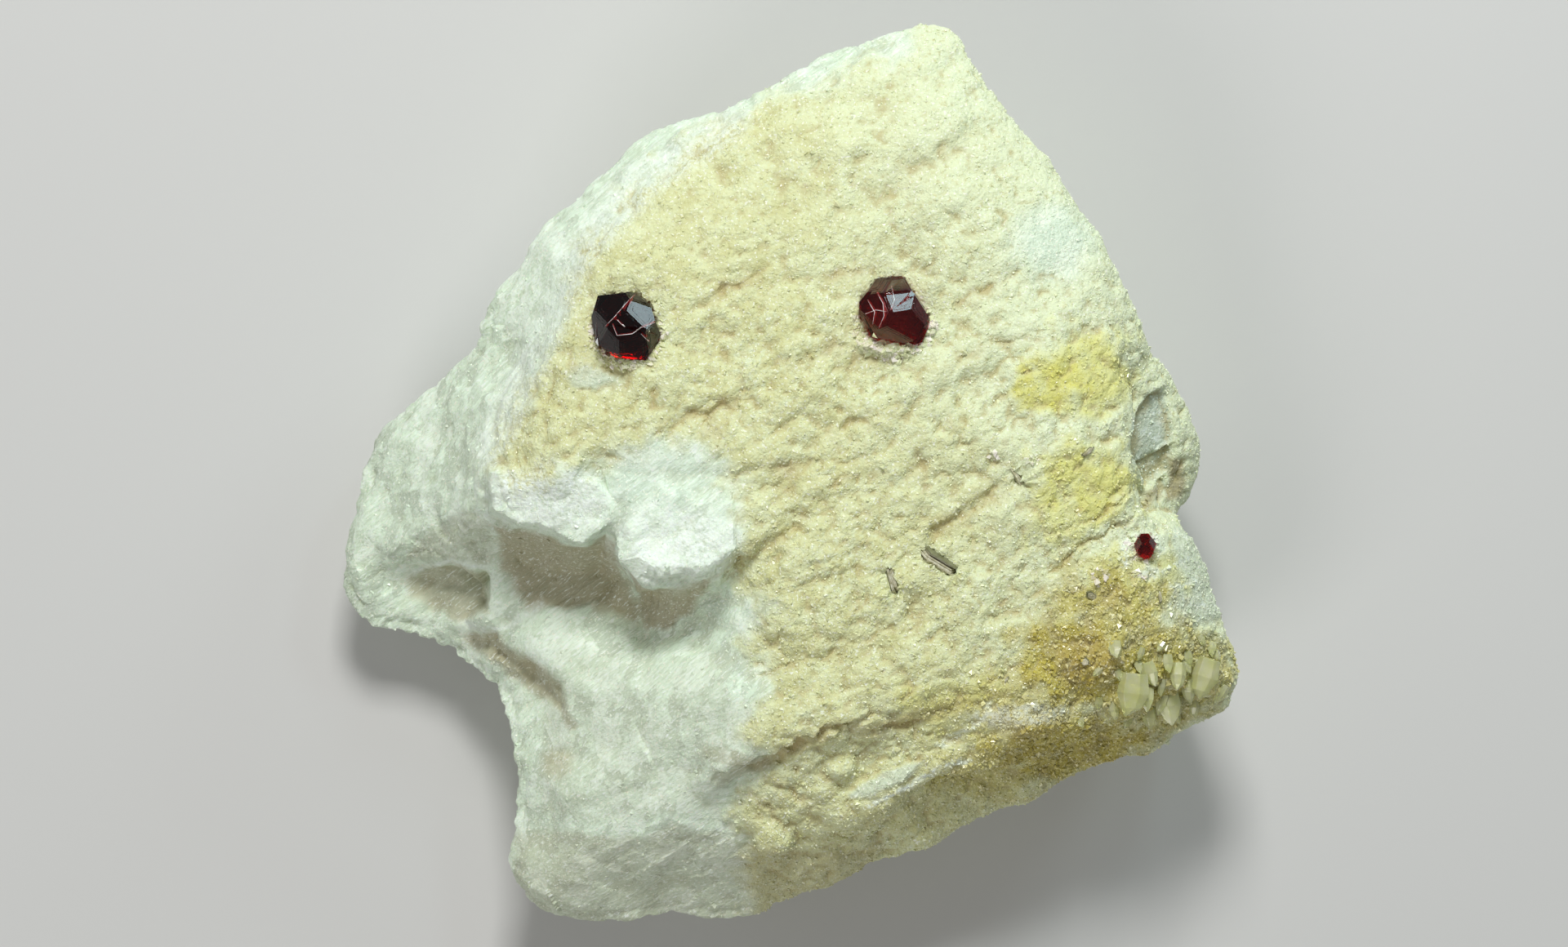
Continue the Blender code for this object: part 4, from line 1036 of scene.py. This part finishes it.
def marks_of(points, normals):
    """The rock's marks at each point, which its colours are mixed from, painted shade and light among them.
    """
    white = whiteness(points)
    flank = smoothstep((0.2 - normals[:, 2]) / 0.5)
    upward = smoothstep((normals[:, 2] + 0.1) / 0.4)
    # Brown stain with painted shade along the grooves and in the pits
    _, stain_and_shade = groove_shift(points)
    stain_and_shade = np.maximum(stain_and_shade, 0.4 * pits(points) * (1.0 - white))
    brown = np.maximum(patch_strength(points, BROWN_PATCHES, 0.3, 211), stain_and_shade) * upward
    pale = smoothstep((points[:, 0] - 6 + 0.3 * points[:, 1] + 7 * waves(points, 14.0, 231)) / 26)
    level, slope = SHADE_PLANE
    ceiling = np.minimum(level + slope * points[:, 0], SHADE_TOP) - SHADE_BELOW
    under = smoothstep((ceiling - points[:, 2]) / 1.0)
    # Frost, with painted light on the terrace and the knob's top
    frost_and_painted_light = np.maximum(
        patch_strength(points, FROST_AND_PAINTED_LIGHT_PATCHES, 0.5, 251), line_strength(points, FROST_LINES, 255)
    )
    return {
        "white": np.maximum(white, 0.3 * flank),
        "ochre": patch_strength(points, OCHRE_PATCHES, 0.5, 201) * upward,
        "yellow": patch_strength(points, YELLOW_PATCHES, 0.7, 205) * upward,
        "brown": 0.6 * brown,
        "pearly": patch_strength(points, PEARLY_PATCHES, 0.2, 221) * upward,
        "plate": plate_shift(points)[1] * upward,
        "paleness": 0.75 * pale,
        # Painted shade, kept under the terrace's plane and the knob's top
        "shade": outline_strength(points, SHADED_OUTLINES, 0.5, 241) * under,
        "frost_and_painted_light": frost_and_painted_light * upward,
    }


def knob_shift(points):
    """Moves that lay the knob's surface onto its flat faces."""
    middle = np.array(KNOB_MIDDLE)
    away = np.abs((points - middle) / np.array(KNOB_REACH)).max(axis=1)
    hold = smoothstep((1.0 - away) / 0.25)
    normals = np.array([Vector(normal).normalized() for normal, _ in KNOB_FACES])
    offsets = np.array([normal @ np.array(point) for normal, (_, point) in zip(normals, KNOB_FACES)])
    outside = points @ normals.T - offsets
    face = outside.argmax(axis=1)
    deepest = np.clip(outside.max(axis=1), *KNOB_MOVES)
    return -normals[face] * (deepest * hold)[:, None]


def add_face_relief(shift, points, face):
    """Waves, domes with creases between them, and pits, as strong as the granular face is."""
    along_grain = drawn_out(points)
    for number, (size, height) in enumerate(GRANULAR_WAVES):
        shift += height * (0.35 + 0.65 * face) * waves(along_grain, size, 11 + 5 * number)
    warped = along_grain + 0.5 * np.stack([waves(points, 1.7, 31 + axis) for axis in range(3)], axis=1)
    lower_down = 0.6 + 0.4 * smoothstep((30.0 - points[:, 1]) / 24.0)
    for number, (size, height) in enumerate(GRANULAR_DOMES):
        offset, _ = nearest_cells(warped, size, 51 + 7 * number)
        shift += height * lower_down * face * (0.5 - (offset ** 2).sum(axis=1))
    shift -= PIT_DEPTH * face * pits(points)


def add_broken_relief(shift, points, white, flank):
    """Flat faces and steps on the white stone, lumps on the flanks, and silky ridges on both."""
    bright = white * (1.0 - flank)
    some = bright > 0.01
    faces = broken_faces(drawn_out(points)[some], WHITE_FACES, 301) + cleavage_steps(points[some], 501)
    shift[some] += bright[some] * faces
    some = flank > 0.01
    shift[some] += flank[some] * knobbly(points[some], FLANK_LUMPS, 401)
    broken = np.maximum(white, flank)
    some = broken > 0.01
    ridges = waves(turned_to(points[some], STRIATION_BEARING), STRIATION_SIZE, 71)
    left_of = smoothstep((STRIATED_LEFT_OF - points[some, 0]) / 4.0)
    striated = STRIATION_ELSEWHERE + (1.0 - STRIATION_ELSEWHERE) * left_of
    shift[some] += broken[some] * striated * STRIATION_HEIGHT * ridges
    front = outline_strength(points, [(KNOB_FRONT, 1.0)], 0.5, 245)
    shift += front * FRONT_STRIATION_HEIGHT * waves(points, FRONT_STRIATION_SIZE, 75)


def add_lumps(shift, points, flank):
    """The smooth lumps and lenses of the upper side."""
    for x, y, height, across, along, bearing in LUMPS:
        turned = (points[:, :2] - (x, y)) @ np.array(Matrix.Rotation(math.radians(bearing), 2))
        away = np.hypot(turned[:, 0] / across, turned[:, 1] / along)
        shift += height * smoothstep(1.3 - away) * (1.0 - flank)


def roughened(points, triangles):
    """The block's surface broken up, and laid onto its flat faces and areas."""
    normals = vertex_normals(points, triangles)
    white = whiteness(points)
    flank = smoothstep((0.45 - normals[:, 2]) / 0.4)
    plates, plated = plate_shift(points)
    pearly = np.maximum(patch_strength(points, PEARLY_PATCHES, 0.2, 221), plated)
    shift = np.zeros(len(points))
    add_face_relief(shift, points, (1.0 - white) * (1.0 - flank) * (1.0 - 0.85 * pearly))
    add_broken_relief(shift, points, white, flank)
    shift += plates * (1.0 - flank)
    depth, _ = groove_shift(points)
    shift -= depth * (1.0 - flank)
    add_lumps(shift, points, flank)
    crumbly = outline_strength(points, [(KNOB_TOP, 1.0)], 0.6, 247) * (points[:, 2] > KNOB_FOOT)
    shift += crumbly * broken_faces(points, KNOB_CRUMBS, 601)
    laid = points + knob_shift(points)
    laid[:, 2] += flat_shift(laid)
    calm = smoothstep((points[:, 2] - 0.2) / 1.2)
    moved = laid + normals * (shift * calm)[:, None]
    moved[:, 2] = np.maximum(moved[:, 2], 0.0)
    return moved


def gripped(points, trees):
    """The sockets drawn in until the rock touches its garnets, and nothing of it inside them."""
    signed, outward = distance_from_crystals(points, trees, GRIP_REACH)
    near = signed < GRIP_REACH
    closing = SOCKET_GAP * np.clip(1.0 - signed[near] / GRIP_REACH, 0.0, 1.0)
    target = np.maximum(signed[near] - 1.6 * closing, 0.01)
    points = points.copy()
    points[near] += outward[near] * (target - signed[near])[:, None]
    return points


def thinned(points, triangles, wanted):
    """The same surface with fewer triangles, kept where it turns most."""
    mesh = bpy.data.meshes.new("dense_rock")
    mesh.from_pydata((points * MM).tolist(), [], triangles.tolist())
    dense = linked("dense_rock", mesh)
    modifier = dense.modifiers.new("thinned", "DECIMATE")
    modifier.ratio = min(1.0, wanted / len(triangles))
    points, triangles = mesh_arrays(dense)
    bpy.data.objects.remove(dense)
    return points, triangles


def build_rock(surface, trees):
    """The rock in place of the block. What is strewn over it needs its points, triangles and normals."""
    points, triangles = fine_rock()
    signed, _ = distance_from_crystals(points, trees, GRIP_REACH)
    calm = SMOOTHING_SHARE * smoothstep((signed - 0.35) / 0.8)
    share = np.where(np.isfinite(signed), calm, SMOOTHING_SHARE)
    points = smoothed(points, triangles, SMOOTHING_ROUNDS, share)
    points = gripped(roughened(points, triangles), trees)
    points, triangles = thinned(points, triangles, ROCK_TRIANGLES)
    normals = vertex_normals(points, triangles)
    marks = marks_of(points, normals)
    # Creases, where a point lies under its smoothed neighbours, get painted shade and brown stain
    lower = ((smoothed(points, triangles, 10, 0.5) - points) * normals).sum(axis=1)
    creases = smoothstep((lower - 0.02) / 0.15)
    marks["hollow"] = CREASE_SHADE_STRENGTH * creases * (1.0 - 0.8 * marks["white"])
    rock = array_piece("matrix_rock", points, triangles, surface, marks, "matrix", True)
    rock.data.set_sharp_from_angle(angle=math.radians(SHARP_ANGLE))
    return points, triangles, normals


# Grains and flakes

def grain_shapes(count, squat, seed):
    """Small angular shapes with eight faces, each about one wide."""
    random = np.random.default_rng(seed)
    shapes = []
    for _ in range(count):
        bm = bmesh.new()
        for axis in range(3):
            for side in (-0.6, 0.6):
                spot = random.uniform(-0.22, 0.22, 3)
                spot[axis] += side
                bm.verts.new(spot)
        bmesh.ops.convex_hull(bm, input=bm.verts[:])
        bmesh.ops.scale(bm, vec=(1, random.uniform(0.7, 1.0), squat), verts=bm.verts[:])
        bmesh.ops.triangulate(bm, faces=bm.faces[:])
        bmesh.ops.recalc_face_normals(bm, faces=bm.faces[:])
        bm.verts.index_update()
        points = np.array([vert.co[:] for vert in bm.verts])
        triangles = np.array([[vert.index for vert in face.verts] for face in bm.faces])
        bm.free()
        shapes.append((points, triangles))
    return shapes


def joined_shapes(shapes, variant, turns, widths, places):
    """Points and triangles of the shapes in their places, and the place that each point belongs to."""
    all_points, all_triangles, owners = [], [], []
    start = 0
    for number, (shape, faces) in enumerate(shapes):
        which = np.flatnonzero(variant == number)
        turned = np.einsum("nij,vj->nvi", turns[which], shape) * widths[which, None, None]
        all_points.append((turned + places[which, None, :]).reshape(-1, 3))
        starts = start + len(shape) * np.arange(len(which))
        all_triangles.append((faces[None] + starts[:, None, None]).reshape(-1, 3))
        owners.append(np.repeat(which, len(shape)))
        start += len(shape) * len(which)
    return np.concatenate(all_points), np.concatenate(all_triangles), np.concatenate(owners)


def strewn(name, rock, kind, density, shapes, surface, lean, seed):
    """Joined small shapes strewn over the rock, as many as kind says, denser where density is higher."""
    points, triangles, normals = rock
    count, smallest, largest, proud = kind
    random = np.random.default_rng(seed)
    corners = points[triangles]
    area = np.linalg.norm(np.cross(corners[:, 1] - corners[:, 0], corners[:, 2] - corners[:, 0]), axis=1)
    weight = area * density(corners.mean(axis=1), normals[triangles].mean(axis=1))
    chosen = random.choice(len(triangles), count, p=weight / weight.sum())
    share = random.dirichlet((1, 1, 1), count)
    places = (corners[chosen] * share[:, :, None]).sum(axis=1)
    outward = normals[triangles[chosen]].mean(axis=1) + lean * random.normal(size=(count, 3))
    outward /= np.linalg.norm(outward, axis=1, keepdims=True)
    widths = smallest + (largest - smallest) * random.random(count) ** 2.2
    variant = random.integers(len(shapes), size=count)
    tints = random.random(count)
    side = np.cross(outward, random.normal(size=(count, 3)))
    side /= np.linalg.norm(side, axis=1, keepdims=True)
    turns = np.stack([side, np.cross(outward, side), outward], axis=2)
    places += outward * (widths * (proud - 0.5) * np.abs(shapes[0][0][:, 2]).max() * 2)[:, None]
    marks = marks_of(places, np.tile((0.0, 0.0, 1.0), (count, 1)))
    marks["tint"] = tints
    marks["hollow"] = np.zeros(count)
    points, triangles, owners = joined_shapes(shapes, variant, turns, widths, places)
    points[:, 2] = np.maximum(points[:, 2], 0.0)
    marks = {mark: values[owners] for mark, values in marks.items()}
    array_piece(name, points, triangles, surface, marks)


# Densities that the strewn pieces follow

def clear_of_garnets(places):
    """1 away from the garnets, 0 on them."""
    keep = np.ones(len(places))
    for x, y, radius in GARNET_AREAS:
        away = np.hypot(places[:, 0] - x, places[:, 1] - y)
        keep *= smoothstep((away - radius) / 0.3)
    return keep


def granular(places, normals):
    steep = smoothstep((normals[:, 2] + 0.6) / 0.5) * (places[:, 2] > 0.8)
    return (1.0 - whiteness(places)) * steep * clear_of_garnets(places)


def upper_granular(places, normals):
    return granular(places, normals) * (places[:, 1] > -4.0)


def lower_granular(places, normals):
    return granular(places, normals) * (places[:, 1] <= -4.0)


def glassy(places, normals):
    ochre = patch_strength(places, OCHRE_PATCHES, 0.5, 201)
    yellow = patch_strength(places, YELLOW_PATCHES, 0.5, 205)
    return (0.01 + ochre + 0.3 * yellow) * granular(places, normals)


def around_garnets(places, normals):
    """1 in the lower part of the chip rings and spots, 0 elsewhere."""
    ring = np.zeros(len(places))
    for x, y, inner, outer in CHIP_RINGS:
        away = np.hypot(places[:, 0] - x, places[:, 1] - y)
        ring = np.maximum(ring, (away >= inner) & (away < outer) & (places[:, 1] < y + 1.0))
    return ring * (normals[:, 2] > 0.1)


def cleaved(places, normals):
    above_floor = places[:, 2] > 0.8
    return (0.15 + whiteness(places)) * above_floor * (0.35 + smoothstep(normals[:, 2] / 0.6))


# Garnets

def garnet_body(node, surface):
    """A garnet with fine bevels on the edges of its CAD solid and faint growth plates on its facets."""
    bm = bmesh.new()
    bm.from_mesh(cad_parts[node].data)
    bmesh.ops.scale(bm, vec=(1 / MM,) * 3, verts=bm.verts[:])
    bmesh.ops.remove_doubles(bm, verts=bm.verts[:], dist=0.002)
    bmesh.ops.dissolve_limit(bm, angle_limit=math.radians(2), verts=bm.verts[:], edges=bm.edges[:])
    sharp = [edge for edge in bm.edges if len(edge.link_faces) == 2 and edge.calc_face_angle() > 0.12]
    bmesh.ops.bevel(
        bm, geom=sharp, offset=GARNET_BEVEL, segments=2, profile=0.6, affect="EDGES", clamp_overlap=True
    )
    plates = [face for face in bm.faces if face.calc_area() > 1.2 and face.normal.z > 0.1]
    for rise, margin in GROWTH_PLATES:
        bmesh.ops.inset_individual(bm, faces=plates, thickness=margin, depth=0.0)
        bmesh.ops.inset_individual(bm, faces=plates, thickness=0.03, depth=rise)
        plates = [face for face in plates if face.is_valid and face.calc_area() > 1.4]
    return bmesh_piece(node + "_crystal", bm, surface, node)


def crack_blades(name, garnet, runs, surface):
    """Thin bright blades let into a garnet along its cracks."""
    points, triangles = mesh_arrays(garnet, False)
    tree = BVHTree.FromPolygons(points.tolist(), triangles.tolist())
    bm = bmesh.new()
    for run in runs:
        spots = []
        for start, end in zip(run, run[1:]):
            for share in (0.0, 0.2, 0.4, 0.6, 0.8):
                spots.append(Vector(start).lerp(Vector(end), share))
        spots.append(Vector(run[-1]))
        rings = []
        for number, spot in enumerate(spots):
            before, after = spots[max(number - 1, 0)], spots[min(number + 1, len(spots) - 1)]
            along = (after - before).normalized()
            across = Vector((-along.y, along.x, 0))
            end_share = math.sin(math.pi * (number + 0.4) / (len(spots) - 0.2))
            half = CRACK_HALF_WIDTH * max(end_share, 0.12)
            hit, normal = surface_under(tree, spot.x, spot.y)
            if hit is None:
                continue
            top = hit + normal * CRACK_RISE
            deep = hit - normal * CRACK_DEPTH * max(end_share, 0.2) + across * CRACK_LEAN
            rings.append([bm.verts.new(p) for p in (top + across * half, top - across * half, deep)])
        skinned(bm, rings)
        if len(rings) > 1:
            bm.faces.new(rings[0])
            bm.faces.new(list(reversed(rings[-1])))
    bmesh_piece(name, bm, surface)


# Mica and clear crystals

def add_sheet(bm, places, edge, number):
    """A flat sheet between two rings of places, marked as the edge when it is the first of its book."""
    rings = [[bm.verts.new(place) for place in ring] for ring in places]
    for vert in rings[0] + rings[1]:
        vert[edge] = 0.0 if number else 1.0
    bm.faces.new(rings[0])
    bm.faces.new(rings[1])
    skinned(bm, rings)


def mica_blade(node, surface, seed):
    """A book of thin mica sheets in place of the plain blade, each sheet a little off the next."""
    random = np.random.default_rng(seed)
    points, _ = mesh_arrays(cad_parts[node], False)
    middle = points.mean(axis=0)
    _, _, axes = np.linalg.svd(points - middle)
    spans = [np.ptp((points - middle) @ axis) for axis in axes]
    bm = bmesh.new()
    edge = bm.verts.layers.float.new("edge")
    for sheet in range(BLADE_SHEETS):
        across = (sheet + 0.5) / BLADE_SHEETS - 0.5
        thick = spans[2] / BLADE_SHEETS * 0.85
        grow = random.uniform(0.82, 1.0)
        slide = random.uniform(-0.05, 0.05, 2)
        rings = [[], []]
        for side, ring in zip((-0.5, 0.5), rings):
            for along, up in BLADE_OUTLINE:
                place = middle + axes[0] * (along * grow + slide[0]) * spans[0]
                place = place + axes[1] * (up * grow + slide[1]) * spans[1]
                ring.append(place + axes[2] * (across * spans[2] + side * thick))
        add_sheet(bm, rings, edge, sheet)
    bmesh.ops.recalc_face_normals(bm, faces=bm.faces[:])
    bmesh.ops.bevel(bm, geom=bm.edges[:], offset=0.02, segments=1, affect="EDGES", clamp_overlap=True)
    bmesh_piece(node + "_sheets", bm, surface, node)


def build_flakes(rock_tree, surface):
    """Small mica flakes that lie in the face."""
    bm = bmesh.new()
    edge = bm.verts.layers.float.new("edge")
    for x, y, length, width, bearing in SMALL_FLAKES:
        hit, normal = surface_under(rock_tree, x, y)
        along = towards(bearing)
        along = (along - normal * along.dot(normal)).normalized()
        across = normal.cross(along)
        for sheet, (share, lift) in enumerate(FLAKE_SHEETS):
            rings = [[], []]
            for rise, ring in zip((-0.1, 0.06), rings):
                for forth, side in FLAKE_OUTLINE:
                    place = hit + along * (forth * length * share) + across * (side * width * share)
                    ring.append(place + normal * (lift + rise))
            add_sheet(bm, rings, edge, sheet)
    bmesh_piece("mica_flakes", bm, surface)


def calcite_crystal(width, length, random):
    """A blunt crystal along X, a little flattened, with a skewed tip."""
    start = random.uniform(0, 1.0)
    skew = random.uniform(-0.12, 0.12, 2)
    part = bmesh.new()
    rings = []
    for along, share in DRUSE_SECTIONS:
        ring = []
        for side in range(DRUSE_SIDES):
            angle = 2 * math.pi * (side + start) / DRUSE_SIDES
            radius = 0.5 * width * share * (1.12 if side % 2 else 0.86)
            place = (along * length, radius * math.cos(angle), 0.75 * radius * math.sin(angle))
            ring.append(part.verts.new(place))
        rings.append(ring)
    tip = part.verts.new((0.5 * length, skew[0] * width, skew[1] * width))
    part.faces.new(rings[0])
    skinned(part, rings)
    for i in range(DRUSE_SIDES):
        part.faces.new([rings[-1][i], rings[-1][(i + 1) % DRUSE_SIDES], tip])
    bmesh.ops.recalc_face_normals(part, faces=part.faces[:])
    bmesh.ops.bevel(
        part, geom=part.edges[:], offset=0.015 * width, segments=1, affect="EDGES", clamp_overlap=True
    )
    return part


def build_druse(rock_tree, surface):
    """Clear calcite crystals lying along the slope of the lower right corner."""
    random = np.random.default_rng(31)
    bm = bmesh.new()
    for x, y, width, length, bearing in DRUSE:
        hit, normal = surface_under(rock_tree, x, y)
        if hit is None:
            continue
        part = calcite_crystal(width, length, random)
        along = towards(bearing)
        along = (along - normal * along.dot(normal) * 0.8 + normal * 0.3).normalized()
        across = normal.cross(along).normalized()
        stand = Matrix((along, across, along.cross(across))).transposed().to_4x4()
        stand.translation = hit + normal * (0.3 * width)
        bmesh.ops.transform(part, matrix=stand, verts=part.verts[:])
        mesh = bpy.data.meshes.new("druse_part")
        part.to_mesh(mesh)
        part.free()
        bm.from_mesh(mesh)
        bpy.data.meshes.remove(mesh)
    bmesh_piece("calcite_druse", bm, surface)


# Camera, lights and floor

def set_camera():
    camera = bpy.data.cameras.new("camera")
    camera.sensor_width = SENSOR_WIDTH
    camera.lens = SENSOR_WIDTH * CAMERA_ABOVE_FACE * PIXELS_PER_MM / FRAME_PIXELS
    camera.clip_start = 0.01
    viewer = linked("camera", camera)
    viewer.location = Vector(CAMERA_PLACE) * MM
    bpy.context.scene.camera = viewer


def set_lights():
    for name, place, width, power, colour in LIGHTS:
        light = bpy.data.lights.new(name, "AREA")
        light.size = width * MM
        light.energy = power
        light.color = colour
        lamp = linked(name, light)
        lamp.location = Vector(place) * MM
        lamp.rotation_euler = (-lamp.location).to_track_quat("-Z", "Y").to_euler()
    world = bpy.data.worlds.new("studio")
    world.use_nodes = True
    world.node_tree.nodes["Background"].inputs["Color"].default_value = (SKY_GREY, SKY_GREY, SKY_GREY, 1)
    bpy.context.scene.world = world


def set_floor():
    surface, _, shader = new_material("plain_floor")
    shader.inputs["Base Color"].default_value = FLOOR_COLOUR
    shader.inputs["Roughness"].default_value = 0.8
    bm = bmesh.new()
    bmesh.ops.create_grid(bm, x_segments=1, y_segments=1, size=FLOOR_WIDTH * MM / 2)
    mesh = bpy.data.meshes.new("floor")
    bm.to_mesh(mesh)
    bm.free()
    mesh.materials.append(surface)
    floor = linked("floor", mesh)


def main():
    set_camera()
    set_lights()
    set_floor()
    bpy.context.scene.view_settings.view_transform = "Standard"
    rock = build_rock(rock_material(), crystal_trees())
    rock_tree = BVHTree.FromPolygons(rock[0].tolist(), rock[1].tolist())
    sugar = grain_material("sugary_grain", 0.24, 0.5, GLINT)
    glass = grain_material("glassy_grain", 0.1, 0.5, HONEY_GLINT)
    chip = grain_material("socket_chip", 0.2, 0.95, CHIP)
    blocks = grain_shapes(12, 0.85, 5)
    plates = grain_shapes(12, 0.3, 6)
    strewn("sugary_grains_upper", rock, SUGAR_GRAINS, upper_granular, blocks, sugar, 0.7, 11)
    strewn("sugary_grains_lower", rock, LOWER_GRAINS, lower_granular, blocks, sugar, 0.7, 12)
    strewn("glassy_grains", rock, GLASSY_GRAINS, glassy, blocks, glass, 0.9, 13)
    strewn("cleavage_flakes", rock, CLEAVAGE_FLAKES, cleaved, plates, sugar, 0.35, 14)
    strewn("socket_chips", rock, SOCKET_CHIPS, around_garnets, blocks, chip, 0.9, 15)
    garnets = {}
    for node, turn, density, lining in GARNETS:
        garnets[node] = garnet_body(node, garnet_material(node, turn, density, lining))
    crack = crack_material()
    crack_blades("garnet_left_cracks", garnets["garnet_left"], LEFT_CRACKS, crack)
    crack_blades("garnet_right_cracks", garnets["garnet_right"], RIGHT_CRACKS, crack)
    mica = mica_material()
    for seed, node in enumerate(("mica_blade_large", "mica_blade_low", "mica_blade_high")):
        mica_blade(node, mica, seed)
    build_druse(rock_tree, calcite_material())
    build_flakes(rock_tree, mica)


main()
